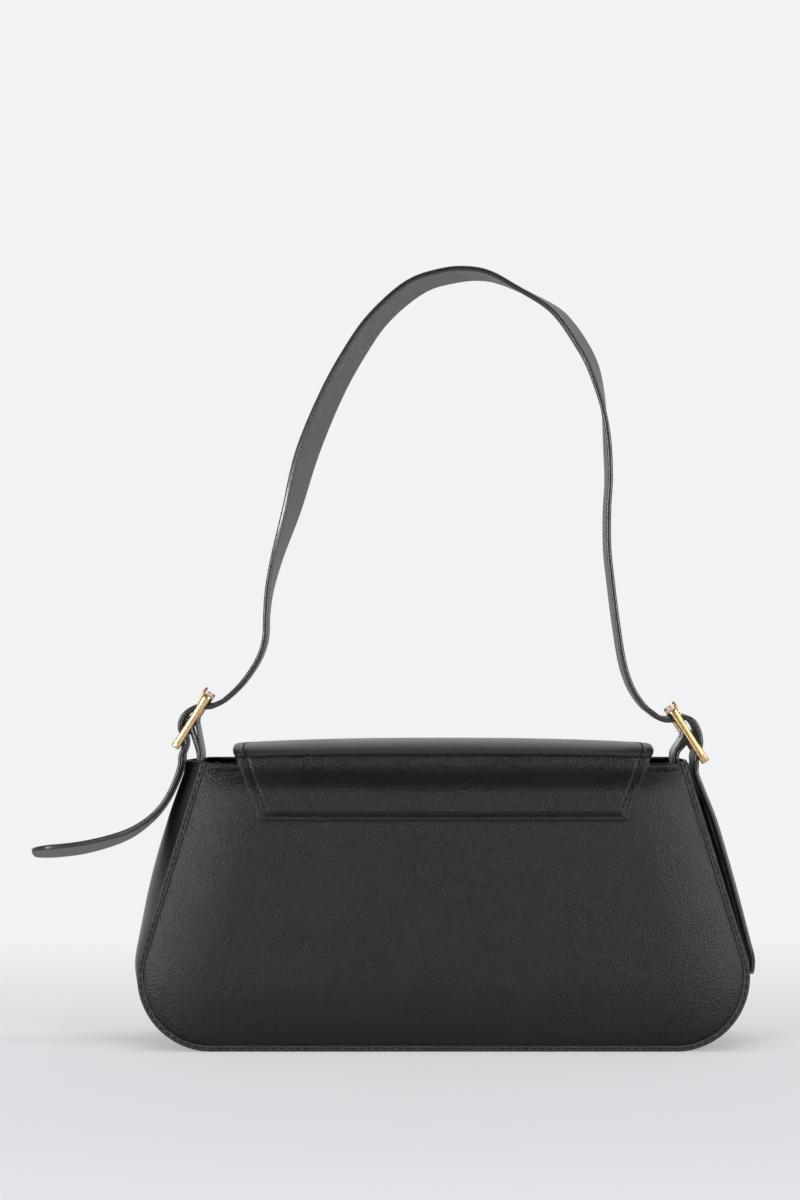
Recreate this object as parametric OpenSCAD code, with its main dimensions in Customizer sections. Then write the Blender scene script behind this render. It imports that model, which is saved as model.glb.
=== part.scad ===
// Baguette shoulder bag in smooth black leather, seen in the photo from its back.
// Millimetres. The origin is the centre of the base, on the ground, with +Z up.
// The back of the bag faces -Y and the front, under the flap, faces +Y.

/* [Body] */
// Width across the panel seams at their widest
base_w = 275; // [240:1:320]
// Width across the panel seams at the rim
top_w = 218; // [190:1:240]
// Height of the rim above the ground
rim_z = 132; // [115:1:160]
// Depth over the panels at the ground
base_d = 65; // [54:1:80]
// Depth over the panels at the rim
top_d = 50; // [44:1:62]
// Radius of the lower corners of the panel seam
corner_r = 31; // [20:1:40]
// Leather of the panels and the gusset
leather_t = 1.2; // [0.9:0.1:1.6]
// Board between leather and lining
board_t = 0.8; // [0.5:0.1:1.2]
// Lining fabric
lining_t = 0.5; // [0.3:0.1:0.7]
// Height of the leather facing inside the mouth
facing_h = 24; // [15:1:35]

/* [Binding and gusset] */
// Width of the binding that closes the panel seams
lip_w = 3.2; // [2.6:0.1:4.5]
// Leather of the binding
binding_t = 0.7; // [0.5:0.1:1]
// How far the gusset swells past the seams on the left
bulge_left = 11.5; // [6:0.5:14]
// How far it swells on the right, where the strap's end presses on it
bulge_right = 7.3; // [5:0.1:10]

/* [Flap] */
// Width of the flap where it folds over the back rim
flap_w = 193; // [160:1:198]
// How far the flap narrows on each side for each mm along it
flap_taper = 0.37; // [0.3:0.01:0.5]
// Height of the part of the flap sewn to the back, below the rim
anchor_h = 27; // [18:1:40]
// Height of the flap's crown above its folds
crown_h = 8.7; // [7:0.1:11]
// Lowest edge of the flap at the front, above the ground
flap_end_z = 62; // [50:1:80]
// Leather of the flap
flap_t = 1.2; // [0.9:0.1:1.6]
// Lining of the flap
flap_lining_t = 0.6; // [0.4:0.1:0.8]
// Radius of the flap's free corners
flap_corner_r = 3; // [2:0.5:8]

/* [Snap] */
// Height of the magnetic snap above the ground
snap_z = 82; // [75:1:95]
// Diameter of the snap's discs
snap_d = 16; // [12:1:18]
// How far the magnet stands on the front panel
magnet_h = 2; // [1.5:0.1:3]
// Thickness of the plate on the flap
plate_h = 1.2; // [1:0.1:2]

/* [Strap] */
// Width of the strap
strap_w = 24.5; // [20:0.5:30]
// Thickness of the strap's two layers together
strap_t = 2.4; // [2:0.1:3]
// Height of the strap's arch above the rim
strap_rise = 228; // [180:1:280]
// Diameter of the punched holes
strap_hole_d = 4; // [3:0.5:5]

/* [Tabs] */
// Width of the tabs that hold the buckles
tab_w = 18; // [14:0.5:20]
// Leather of the tabs
tab_t = 1.4; // [1:0.1:1.6]
// How far the stitched ends of the tabs reach down inside the gusset
tab_depth = 28; // [20:1:35]

/* [Buckles] */
// Length of a buckle over its end bars
buckle_len = 29; // [27:0.5:34]
// Diameter of the end bars
end_bar_d = 3.4; // [3:0.1:4]
// Thickness of the side bars across the strap
side_bar_t = 2.8; // [2:0.1:3.5]
// Diameter of the centre bar
centre_bar_d = 2.5; // [2.2:0.1:2.6]
// Width of the prong
prong_w = 3; // [2.4:0.1:3.6]
// Largest lift of the prong off its end bar, in degrees
prong_lift = 30; // [20:1:35]

/* [Hidden] */
$fn = 48;

// Clearance between pieces that only lie against each other
gap = 0.05;
// Clearance between pieces that move past each other
free_gap = 0.3;
// Radial clearance of a prong on its bar
running = 0.05;
far = 400;

// Lean of the panels towards each other, and the height of their bottom seam
lean = atan((base_d - top_d) / 2 / rim_z);
seam_z = lip_w;

// The panel seam, right half: a corner arc, then a straight side up to the rim
corner = [base_w / 2 - corner_r, seam_z + corner_r];
rim_end = [top_w / 2, rim_z];
side_a = atan2(rim_end[1] - corner[1], rim_end[0] - corner[0])
         - acos(corner_r / norm(rim_end - corner));
side_start = corner + corner_r * [cos(side_a), sin(side_a)];
arc_steps = 10;
side_steps = 10;

function mix(a, b, k) = a + (b - a) * k;
function reverse(list) = [for (i = [len(list) - 1:-1:0]) list[i]];
function clamp01(k) = max(0, min(1, k));
function smooth01(k) = let (c = clamp01(k)) c * c * (3 - 2 * c);

// A station of the seam is [x, z, outward x, outward z]
function arc_station(a) = [corner[0] + corner_r * cos(a), corner[1] + corner_r * sin(a),
                           a < 0 ? cos(a) : 1, a < 0 ? sin(a) : 0];
function side_station(k) = [mix(side_start[0], rim_end[0], k), mix(side_start[1], rim_end[1], k), 1, 0];
right_seam = concat([for (i = [0:arc_steps]) arc_station(-90 + (side_a + 90) * i / arc_steps)],
                    [for (i = [1:side_steps]) side_station(i / side_steps)]);
seam_n = len(right_seam);
base_stops = [-0.45, 0.2, 0.7];
seam = concat([for (i = [seam_n - 1:-1:0]) let (s = right_seam[i]) [-s[0], s[1], -s[2], s[3]]],
              [for (k = base_stops) [k * corner[0], seam_z, 0, -1]],
              right_seam);

// Half the seam's width at a height on its straight side, and at the corner below it
function seam_x(z) = z >= side_start[1]
    ? mix(side_start[0], rim_end[0], (z - side_start[1]) / (rim_end[1] - side_start[1]))
    : corner[0] + sqrt(max(0, corner_r * corner_r - pow(z - corner[1], 2)));

// Outline of a panel-shaped layer, moved out by off and ended at the height top
function layer_points(off, top) = let (lo = [for (s = seam) if (s[1] + off * s[3] < top - 0.01)
        [s[0] + off * s[2], (s[1] + off * s[3]) / cos(lean)]],
        x = seam_x(top) + off)
    concat([[-x, top / cos(lean)]], lo, [[x, top / cos(lean)]]);

// Places its children on a panel's outer face: x across, y up the panel, z inwards
module on_front() {
    translate([0, base_d / 2, 0]) rotate([90 + lean, 0, 0]) children();
}
module on_back() {
    mirror([0, 1, 0]) on_front() children();
}
module on_panel(front) {
    if (front) on_front() children(); else on_back() children();
}

// Depths of the layers behind a panel's outer face
board_in = leather_t;
lining_in = leather_t + board_t + gap;
facing_t = 1;

module panel_layer(front, depth, t, off, low, high) {
    on_panel(front) translate([0, 0, depth]) linear_extrude(t) intersection() {
        polygon(layer_points(off, high));
        translate([-far / 2, low]) square([far, far]);
    }
}

module panel(front) {
    difference() {
        panel_layer(front, 0, leather_t, flange_w, 0, rim_z);
        if (front) snap_hole();
    }
}
module back_panel() { color([0.12, 0.12, 0.12]) panel(false); }
module front_panel() { color([0.12, 0.12, 0.12]) panel(true); }

// The gusset's flange inside the binding
flange_w = lip_w - binding_t - 0.1;

// Half the clear depth between the panels at a height
function half_depth(z) = base_d / 2 - z * tan(lean) - leather_t / cos(lean);

// How far the gusset swells past the seam at a height, on either side
function bulge(z, right) = let (most = right ? bulge_right : bulge_left,
        sag = (right ? 2.4 : 1) * smooth01((z - rim_z + 27) / 27))
    lip_w + (most - lip_w) * sin(90 * clamp01((z - seam_z - 17) / 75)) - sag;

// Share of the bulge across the depth: flat over the ground, round on the sides
edge_t = 0.9;
function crest(t, z) = min(1, (1 - t * t)
    / mix(1 - edge_t * edge_t, 1, clamp01((z - seam_z - 2) / 55)));
function gusset_x(z, right, t) = seam_x(z) + bulge(z, right) * crest(t, z);

// One point of the gusset: a seam station, a distance out and a place across the depth.
// A place of 1 is the edge beside the binding, and edge > 0 measures in from the panel.
gusset_edge = leather_t + binding_t + 0.15;
function gusset_point(s, off, t, edge) = let (z = s[1] + off * s[3], h = half_depth(z),
        y = edge >= 0 ? (t < 0 ? -1 : 1) * (h - edge) : t * (h - gusset_edge))
    [s[0] + off * s[2], y, z];
crest_t = [0.9, 0.7, 0.45, 0.15, -0.15, -0.45, -0.7, -0.9];
function gusset_outer(s) = let (b = bulge(s[1], s[0] > 0)) concat(
    [gusset_point(s, flange_w, 1, 0), gusset_point(s, flange_w, 1, leather_t),
     gusset_point(s, 0, 1, leather_t), gusset_point(s, 0, 1, gusset_edge)],
    [for (t = crest_t) gusset_point(s, b * crest(t, s[1]), t, -1)],
    [gusset_point(s, 0, -1, gusset_edge), gusset_point(s, 0, -1, leather_t),
     gusset_point(s, flange_w, -1, leather_t), gusset_point(s, flange_w, -1, 0)]);
function gusset_inner(s) = let (b = bulge(s[1], s[0] > 0), o = -leather_t) concat(
    [gusset_point(s, o, 1, 0), gusset_point(s, o, 1, leather_t * 0.4),
     gusset_point(s, o, 1, leather_t * 0.8), gusset_point(s, o, 1, gusset_edge)],
    [for (t = crest_t) gusset_point(s, b * crest(t, s[1]) + o, t, -1)],
    [gusset_point(s, o, -1, gusset_edge), gusset_point(s, o, -1, leather_t * 0.8),
     gusset_point(s, o, -1, leather_t * 0.4), gusset_point(s, o, -1, 0)]);

// A closed solid between an outer and an inner grid of points, as triangles
module grid_shell(outer, inner) {
    rows = len(outer);
    cols = len(outer[0]);
    n = rows * cols;
    function at(i, j) = i * cols + j;
    skin = [for (i = [0:rows - 2], j = [0:cols - 2])
        each [[at(i, j), at(i, j + 1), at(i + 1, j + 1)], [at(i, j), at(i + 1, j + 1), at(i + 1, j)]]];
    back = [for (f = skin) [f[2] + n, f[1] + n, f[0] + n]];
    ends = [for (i = [0, rows - 1], j = [0:cols - 2])
        each let (a = at(i, j), b = at(i, j + 1), q = [[a, a + n, b + n], [a, b + n, b]])
            i == 0 ? q : [for (f = q) [f[2], f[1], f[0]]]];
    edges = [for (j = [0, cols - 1], i = [0:rows - 2])
        each let (a = at(i, j), b = at(i + 1, j), q = [[a, b + n, a + n], [a, b, b + n]])
            j == 0 ? q : [for (f = q) [f[2], f[1], f[0]]]];
    polyhedron(concat([for (r = outer) each r], [for (r = inner) each r]),
               concat(skin, back, ends, edges));
}

module gusset() {
    color([0.14, 0.14, 0.14])
        grid_shell([for (s = seam) gusset_outer(s)], [for (s = seam) gusset_inner(s)]);
}

// The gusset's lining rises over the base board
base_board_t = 2;
lining_edge = gusset_edge + 1.3;
function lining_drop(z) = leather_t + gap + (base_board_t + 0.1) * (1 - clamp01((z - seam_z) / 26));
function lining_point(s, t, o) = let (off = bulge(s[1], s[0] > 0) * crest(t, s[1]) - lining_drop(s[1]) - o,
        z = s[1] + off * s[3])
    [s[0] + off * s[2], t * (half_depth(z) - lining_edge), z];
lining_t_list = concat([1], crest_t, [-1]);
module gusset_lining() {
    rows = [for (s = seam) if (s[1] < rim_z) s];
    color([0.35, 0.3, 0.26])
        grid_shell([for (s = rows) [for (t = lining_t_list) lining_point(s, t, 0)]],
                   [for (s = rows) [for (t = lining_t_list) lining_point(s, t, lining_t)]]);
}

// The binding is a strip folded round the raw edges of panel and gusset, open at the rim
function ring_points(near, wide) = concat(
    [for (s = seam) [s[0] + wide * s[2], (s[1] + wide * s[3]) / cos(lean)]],
    [for (i = [len(seam) - 1:-1:0]) let (s = seam[i])
        [s[0] + near * s[2], (s[1] + near * s[3]) / cos(lean)]]);
seam_stack = 2 * leather_t + gap;
module binding(front) {
    intersection() {
        on_panel(front) {
            translate([0, 0, -binding_t]) linear_extrude(binding_t) polygon(ring_points(0.1, lip_w));
            translate([0, 0, -binding_t]) linear_extrude(seam_stack + 2 * binding_t)
                polygon(ring_points(lip_w - binding_t, lip_w));
            translate([0, 0, seam_stack]) linear_extrude(binding_t) polygon(ring_points(0.1, lip_w));
        }
        translate([-far / 2, -far / 2, 0]) cube([far, far, far]);
    }
}
module back_binding() { color([0.1, 0.1, 0.1]) binding(false); }
module front_binding() { color([0.1, 0.1, 0.1]) binding(true); }

// Boards keep the panels and the base flat
board_low = 6;
washer_r = snap_d / 2 - 1;
module back_board() {
    color([0.55, 0.45, 0.33]) panel_layer(false, board_in, board_t, -1.8, board_low, rim_z - 2);
}
module front_board() {
    color([0.55, 0.45, 0.33]) difference() {
        panel_layer(true, board_in, board_t, -1.8, board_low, rim_z - 2);
        at_snap() cylinder(r = washer_r + 0.1, h = 20, center = true);
    }
}
module base_board() {
    w = 2 * (corner[0] - 3);
    d = 2 * edge_t * (half_depth(seam_z) - gusset_edge) - 3;
    color([0.55, 0.45, 0.33]) translate([-w / 2, -d / 2, leather_t + gap]) cube([w, d, base_board_t]);
}

// Leather facing at the mouth, and the lining below it
module facing(front) {
    panel_layer(front, lining_in, facing_t, -2.5, rim_z - facing_h, rim_z - 0.3);
}
module panel_lining(front) {
    panel_layer(front, lining_in, lining_t, -2.5, board_low + 0.5, rim_z - facing_h - 0.2);
}
module back_facing() { color([0.15, 0.15, 0.15]) facing(false); }
module front_facing() { color([0.15, 0.15, 0.15]) facing(true); }
module back_lining() { color([0.4, 0.34, 0.3]) panel_lining(false); }
module front_lining() { color([0.4, 0.34, 0.3]) panel_lining(true); }

// A slip pocket sewn to the back lining
pocket_w = 0.55 * top_w;
pocket_h = 0.515 * rim_z;
pocket_low = 0.26 * rim_z;
module inner_pocket() {
    color([0.38, 0.32, 0.28]) on_back() translate([-pocket_w / 2, pocket_low, lining_in + lining_t])
        cube([pocket_w, pocket_h, lining_t]);
}

// The flap: a back part sewn to the back panel, a crowned top and a hanging front.
// Both folds turn on lines in the flap's outer surface, so that its leather can bend over.
back_t = 1.6;
hinge_y = -(base_d / 2 - (rim_z + 1.3) * tan(lean)) - back_t / cos(lean);
hinge_z = rim_z + 1.3;
fold_gap = 0.12;
flap_stack = flap_t + board_t + flap_lining_t;
// Space between the front panel and the flap, which the snap fills
snap_space = magnet_h + plate_h + free_gap;
front_y = base_d / 2 - hinge_z * tan(lean) + (snap_space + flap_stack) / cos(lean);
crown_y = (hinge_y + front_y) / 2;
crown_half = (front_y - hinge_y) / 2;
crown_power = 2.5;
function crown_point(a, depth) = let (e = 2 / crown_power, c = cos(a))
    [crown_y - (crown_half - depth) * (c < 0 ? -1 : 1) * pow(abs(c), e),
     hinge_z + (crown_h - depth) * pow(sin(a), e)];
fold_a = 156;
fold_at = crown_point(fold_a, 0);
crown_n = 14;
// Where the crown's points begin, and half the gap at the front fold, as angles along it
crown_start = 6;
fold_gap_a = 0.6;
function crown_arc(a0, a1, depth) = [for (i = [0:crown_n]) crown_point(a0 + (a1 - a0) * i / crown_n, depth)];
function flap_half(y) = flap_w / 2 - flap_taper * (y - hinge_y);
front_half = flap_half(fold_at[0]);
end_half = front_half - flap_taper * (fold_at[1] - flap_end_z);

// Extrudes a profile drawn in y and z along X
module along_x(w) { rotate([90, 0, 90]) linear_extrude(w, center = true) children(); }

// Seen from above, the top narrows towards the front
module top_plan(inset) {
    y0 = hinge_y - 1;
    y1 = front_y + 1;
    linear_extrude(far) polygon([[-flap_half(y0) + inset, y0], [flap_half(y0) - inset, y0],
        [flap_half(y1) - inset, y1], [-flap_half(y1) + inset, y1]]);
}
module top_layer(d0, d1, inset) {
    first = [crown_point(0, d0)[0], hinge_z + fold_gap];
    last = [crown_point(0, d1)[0], hinge_z + fold_gap];
    intersection() {
        along_x(far) polygon(concat([first], crown_arc(crown_start, fold_a - fold_gap_a, d0),
                                    crown_arc(fold_a - fold_gap_a, crown_start, d1), [last]));
        top_plan(inset);
    }
}
module flap_top() { color([0.13, 0.13, 0.13]) top_layer(0, flap_t, 0); }
module flap_top_lining() {
    color([0.3, 0.3, 0.3]) top_layer(flap_t + gap, flap_t + gap + flap_lining_t, 1.5);
}

// Rounds the corner p, between its neighbours a and b, to radius r
function corner_arc(a, p, b, r) = let (n = 5, u = (a - p) / norm(a - p), v = (b - p) / norm(b - p),
        half = acos(u * v) / 2, c = p + (u + v) / norm(u + v) * r / sin(half),
        s = p + u * r / tan(half) - c, e = p + v * r / tan(half) - c,
        a0 = atan2(s[1], s[0]), turn = (atan2(e[1], e[0]) - a0 + 540) % 360 - 180)
    [for (i = [0:n]) c + r * [cos(a0 + turn * i / n), sin(a0 + turn * i / n)]];

// A symmetric outline that narrows from the height z1 to rounded corners at z0
function tapered(w1, z1, w0, z0, r) = concat([[-w1, z1], [w1, z1]],
    corner_arc([w1, z1], [w0, z0], [-w0, z0], r), corner_arc([w0, z0], [-w0, z0], [-w1, z1], r));

module flap_back() {
    w1 = flap_w / 2;
    low = rim_z - anchor_h;
    w0 = w1 - flap_taper * (hinge_z - low);
    color([0.13, 0.13, 0.13]) on_back() translate([0, 0, -back_t]) linear_extrude(back_t)
        polygon(tapered(w1, (hinge_z - fold_gap) / cos(lean), w0, low / cos(lean), flap_corner_r));
}

// The hanging front lies parallel to the front panel
function front_face(z, d) = front_y - d + (hinge_z - z) * tan(lean);
module front_layer(d0, d1, top_a, inset) {
    low = flap_end_z;
    roof = hinge_z + crown_h;
    intersection() {
        along_x(far) polygon(concat(crown_arc(top_a, 180, d0),
            [[front_face(low, d0), low], [front_face(low, d1), low]], crown_arc(180, top_a, d1)));
        rotate([90, 0, 0]) linear_extrude(far, center = true)
            polygon(tapered(front_half - inset + flap_taper * (roof - fold_at[1]), roof,
                            end_half - inset, low + inset, flap_corner_r));
    }
}
module flap_front() { color([0.13, 0.13, 0.13]) front_layer(0, flap_t, fold_a + fold_gap_a, 0); }
module flap_front_lining() {
    color([0.3, 0.3, 0.3]) difference() {
        front_layer(flap_t + board_t, flap_stack, fold_a + fold_gap_a, 1.5);
        at_snap() cylinder(r = snap_shank_r + 0.1, h = 30, center = true);
    }
}
board_top = hinge_z - 4;
module flap_board() {
    color([0.55, 0.45, 0.33]) difference() {
        intersection() {
            front_layer(flap_t, flap_t + board_t, 179, 4);
            translate([-far / 2, -far / 2, board_top - far]) cube(far);
        }
        at_snap() cylinder(r = washer_r + 0.1, h = 30, center = true);
    }
}

// The magnetic snap: a magnet in a cup on the front panel, a plate on the flap's lining
snap_shank_r = 1.5;
stud_r = 2;
stud_h = 0.6;
module at_snap() { on_front() translate([0, snap_z / cos(lean), 0]) children(); }
module snap_hole() { at_snap() cylinder(r = snap_shank_r + 0.1, h = 20, center = true); }
module snap_magnet() {
    color([0.8, 0.68, 0.42]) at_snap() {
        difference() {
            translate([0, 0, -magnet_h]) cylinder(d = snap_d, h = magnet_h);
            translate([0, 0, -magnet_h - 1]) cylinder(r = stud_r + 1.5, h = 2);
        }
        cylinder(r = snap_shank_r, h = leather_t + board_t - gap);
    }
}
module washer(z) {
    translate([0, 0, z]) difference() {
        cylinder(r = washer_r, h = board_t - 2 * gap);
        translate([0, 0, -1]) cylinder(r = snap_shank_r, h = board_t + 2);
    }
}
module snap_magnet_washer() { color([0.7, 0.7, 0.7]) at_snap() washer(leather_t + gap); }
module snap_plate() {
    color([0.8, 0.68, 0.42]) at_snap() {
        translate([0, 0, -snap_space]) cylinder(d = snap_d, h = plate_h);
        translate([0, 0, -snap_space + plate_h]) cylinder(r = stud_r, h = stud_h);
        translate([0, 0, -snap_space - flap_lining_t - board_t + gap])
            cylinder(r = snap_shank_r, h = flap_lining_t + board_t);
    }
}
module snap_plate_washer() {
    color([0.7, 0.7, 0.7]) at_snap() washer(-snap_space - flap_lining_t - board_t + gap);
}

// The buckles, each placed by its centre and its slope, as [u along it, v outwards]
left_centre = [-top_w / 2 - 7.9, rim_z + 18.6];
right_centre = [top_w / 2 + 5.4, rim_z + 11.9];
buckle_slope = 57.5;
end_bar_u = (buckle_len - end_bar_d) / 2;
bar_r = centre_bar_d / 2;
loop_play = 0.1;
loop_r = bar_r + loop_play + tab_t;
inside_half = strap_w / 2 + free_gap;
frame_half = inside_half + side_bar_t;

function buckle_xz(right, u, v) = let (c = right ? right_centre : left_centre,
        x = u * cos(buckle_slope) - v * sin(buckle_slope))
    [c[0] + (right ? -x : x), c[1] + u * sin(buckle_slope) + v * cos(buckle_slope)];
// Places children drawn with X along the buckle and Y outwards, extruded along the strap's width
module at_buckle(right) {
    c = right ? right_centre : left_centre;
    translate([c[0], 0, c[1]]) mirror([right ? 1 : 0, 0, 0]) rotate([90, -buckle_slope, 0]) children();
}

side_mid = 1.65;
side_end = 2;
module buckle_frame(right) {
    half = buckle_len / 2;
    steps = 8;
    top = [for (i = [-steps:steps]) [half * i / steps, mix(side_mid, side_end, pow(i / steps, 2))]];
    under = [for (i = [steps:-1:-steps]) [half * i / steps, -mix(side_mid, side_end, pow(i / steps, 2))]];
    color([0.83, 0.69, 0.4]) at_buckle(right) difference() {
        union() {
            for (side = [-1, 1]) translate([0, 0, side * (inside_half + side_bar_t / 2)])
                linear_extrude(side_bar_t, center = true) polygon(concat(top, under));
            for (side = [-1, 1]) translate([side * end_bar_u, 0, 0])
                cylinder(d = end_bar_d, h = 2 * frame_half - 1, center = true);
        }
        cylinder(r = bar_r, h = 3 * frame_half, center = true);
    }
}
module buckle_bar(right) {
    color([0.8, 0.66, 0.38]) at_buckle(right) cylinder(r = bar_r, h = 2 * frame_half, center = true);
}

// The prong turns on the centre bar and rests on the upper end bar
prong_t = 1.8;
prong_eye_r = bar_r + running + 1;
prong_rest = end_bar_d / 2 + 0.15;
prong_reach = end_bar_u + 3.6;
prong_start = prong_eye_r - prong_t / 2;
module prong(right) {
    arm = [[0, prong_start - prong_t / 2], [end_bar_u, prong_rest], [prong_reach - 1, prong_rest + 0.1],
           [prong_reach, prong_rest + 0.8], [prong_reach - 0.6, prong_rest + 1.5],
           [end_bar_u, prong_rest + prong_t], [0, prong_start + prong_t / 2]];
    color([0.83, 0.69, 0.4]) at_buckle(right) difference() {
        linear_extrude(prong_w, center = true) union() {
            polygon(arm);
            circle(prong_eye_r);
        }
        cylinder(r = bar_r + running, h = 2 * prong_w, center = true);
    }
}
// The space that the prong sweeps through the strap
module prong_space(right) {
    r = prong_reach + 1;
    low = prong_start - prong_t / 2 - 0.6;
    at_buckle(right) linear_extrude(prong_w + 2 * free_gap, center = true)
        polygon(concat([[0, low], [end_bar_u, prong_rest - 0.7]],
                       [for (a = [0:15:prong_lift + 30]) r * [cos(a + 6), sin(a + 6)]], [[0, prong_eye_r]]));
}

// The strap's route: its centre as [x, z], and how far its front edge is shifted as [x, z]
left_thread = [[-16.5, -4.4], [-12.6, -3.5], [-9.9, -2], [-7.6, 0.6], [-5.6, 2.9], [-3, 4.3],
               [0, 4.6], [3.7, 3.6], [6.8, 1.4], [8.6, -1.2], [10.2, -3.6], [13, -5.7], [17, -7.7]];
right_thread = [[17, -8.2], [14, -7], [11.7, -5], [10.1, -2.4], [9.2, 0.3], [8.1, 2.8], [5.9, 4.8],
                [3, 5.6], [-0.4, 5.2], [-3.8, 4.1], [-7, 2.1], [-9.1, -0.5], [-10.8, -2.6],
                [-13.2, -4]];
arch = [[-93.8, 168, 0, 0], [-86.7, 178.4, 0, 0], [-83.2, 188.5, 0, 0], [-82.6, 200, 0, 0],
        [-81.3, 212, 1, 0], [-77.5, 228, 3, 0], [-71, 249, 6.5, 0], [-63.6, 276, 9.5, 0],
        [-52.5, 303, 9.5, 0], [-41.3, 323.5, 9.5, 0], [-29.5, 340, 9.5, 0], [-12.4, 354.4, 9.5, -1.5],
        [4, 359.6, 9, -2.6], [16, 360.3, 8.5, -2.6], [26, 358, 8, -2.6], [38, 352, 8, -1],
        [51.3, 344.3, 8, 0], [58.6, 336.9, 8, 0], [65.1, 327.2, 8, 0], [70, 317.8, 6.7, 0],
        [73.5, 306.4, 4.4, 0], [76, 294, 1.8, 0], [77.4, 280, 0, 0], [78, 263.5, 0, 0],
        [77.2, 249, 0, 0], [77.3, 231, 0, 0], [79, 214.6, 0, 0], [81.4, 195.7, 0, 0],
        [84.4, 177.5, 0, 0], [88.3, 166, 0, 0], [93.5, 158, 0, 0]];
// The loose ends as [below the rim, off the gusset, front edge's drop], hand-set from the photo
left_loose = [[43.8, 58.6, -6.5], [41.4, 36.4, -6], [36.2, 19, -4.5], [29.7, 9.8, -2.5],
              [21.8, 4.4, -1], [12.2, 2.3, 0], [2.5, 2.2, 0]];
right_loose = [[6, 2.1, 0], [14, 1.7, 0], [27, 1.7, 0], [42, 1.7, 0], [57, 1.7, 0], [72, 1.8, 0],
               [84, 2, 0], [92, 2.4, 0], [100, 2.8, 0]];
// The sizes that the arch above was drawn at
arch_rim = 132;
arch_rise = 228;
arch_left = 116.9;
arch_right = 114.4;
arch_w = 24.5;
// The sizes that the loose ends and the threading were drawn at
loose_room = 7.5;
loose_height = 97.8;
thread_room = 2.9;

function arch_place(p) = [p[0] * (p[0] < 0 ? -left_centre[0] / arch_left : right_centre[0] / arch_right),
                          rim_z + (p[1] - arch_rim) * strap_rise / arch_rise, p[2], p[3]];
// Near the rim a loose end stands off by as much as its swinging part needs beside the gusset
side_lean = (side_start[0] - rim_end[0]) / (rim_end[1] - side_start[1]);
swing_room = max(1, pow(strap_w * side_lean / loose_room, 1.2));
function loose_place(p, right) = let (
        z = rim_z - p[0] * (right ? (rim_z - corner[1]) / loose_height : 1),
        x = gusset_x(z, right, 0) + p[1] * (p[0] < 15 ? swing_room : 1))
    [right ? x : -x, z, 0, p[2]];
function thread_place(p, right) = let (v = p[1] * (end_bar_d + strap_t) / 2 / thread_room,
        q = buckle_xz(right, p[0] * end_bar_u / 12.8, v)) [q[0], q[1], 0, 0];
route = concat([for (p = left_loose) loose_place(p, false)],
               [for (p = left_thread) thread_place(p, false)],
               [for (p = arch) arch_place(p)],
               [for (p = right_thread) thread_place(p, true)],
               [for (p = right_loose) loose_place(p, true)]);
route_last = len(route) - 1;

function blend4(a, b, c, d, t) = 0.5 * (2 * b + (c - a) * t + (2 * a - 5 * b + 4 * c - d) * t * t
                                        + (3 * b - a - 3 * c + d) * t * t * t);
function route_at(k) = let (i = min(floor(k), route_last - 1), t = k - i,
        a = i > 0 ? route[i - 1] : 2 * route[0] - route[1],
        d = i < route_last - 1 ? route[i + 2] : 2 * route[route_last] - route[route_last - 1])
    blend4(a, route[i], route[i + 1], d, t);
// The strap's frame at a place on the route: centre, across, outwards
function across_at(k) = let (p = route_at(k), v = [p[2], arch_w, p[3]]) v / norm(v);
function outward_at(k) = let (e = 0.02, a = route_at(max(0, k - e)), b = route_at(min(route_last, k + e)),
        v = cross([b[0] - a[0], 0, b[1] - a[1]], across_at(k))) v / norm(v);
// The free ends are rounded over this length
tip_len = strap_w * 0.45;
function end_gap(k) = let (p = route_at(k), q = k < route_last / 2 ? route[0] : route[route_last])
    norm([p[0] - q[0], p[1] - q[1]]);
function tip_half(k) = let (d = end_gap(k) / tip_len)
    strap_w / 2 * (d < 1 ? 0.4 + 0.6 * sqrt(1 - pow(1 - d, 2)) : 1);

// The strap swings on a line through the tabs, just above the rim. What swings is rounded
// about that line, so that it turns clear of what stays.
swing_z = rim_z + 4;
round_margin = 0.6;
function swing_half(k) = let (d = swing_z - route_at(k)[1])
    d > 0 ? sqrt(max(4, pow(strap_w / 2, 2) - pow(d + round_margin, 2))) : strap_w / 2;
function ring_at(k, n, swings) = let (p = route_at(k), c = [p[0], 0, p[1]],
        w = across_at(k) * (swings ? swing_half(k) : tip_half(k)), o = outward_at(k) * n)
    [c - w + o, c + w + o];

// The place between lo and hi where the route passes the height z
function place_at(z, lo, hi, n = 20) = let (m = (lo + hi) / 2)
    n == 0 ? m : (route_at(m)[1] - z) * (route_at(hi)[1] - z) > 0
        ? place_at(z, lo, m, n - 1) : place_at(z, m, hi, n - 1);

// A run of the strap over a list of places, between two heights in its thickness
steps_per_point = 3;
function places(k0, k1) = let (n = ceil((k1 - k0) * steps_per_point)) [for (i = [0:n]) mix(k0, k1, i / n)];
module strap_run(ks, n0, n1, swings) {
    grid_shell([for (k = ks) ring_at(k, n1, swings)], [for (k = ks) ring_at(k, n0, swings)]);
}

// A punched hole through the strap
module punch(k) {
    p = route_at(k);
    o = outward_at(k);
    translate([p[0], 0, p[1]]) rotate([0, atan2(o[0], o[2]), 0])
        cylinder(d = strap_hole_d, h = 4 * strap_t, center = true);
}

left_end = len(left_loose);
right_end = route_last - len(right_loose);
left_holes = [left_end - 3.5, left_end - 1.6];
right_holes = [right_end + 2.6, right_end + 4.1];
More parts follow.
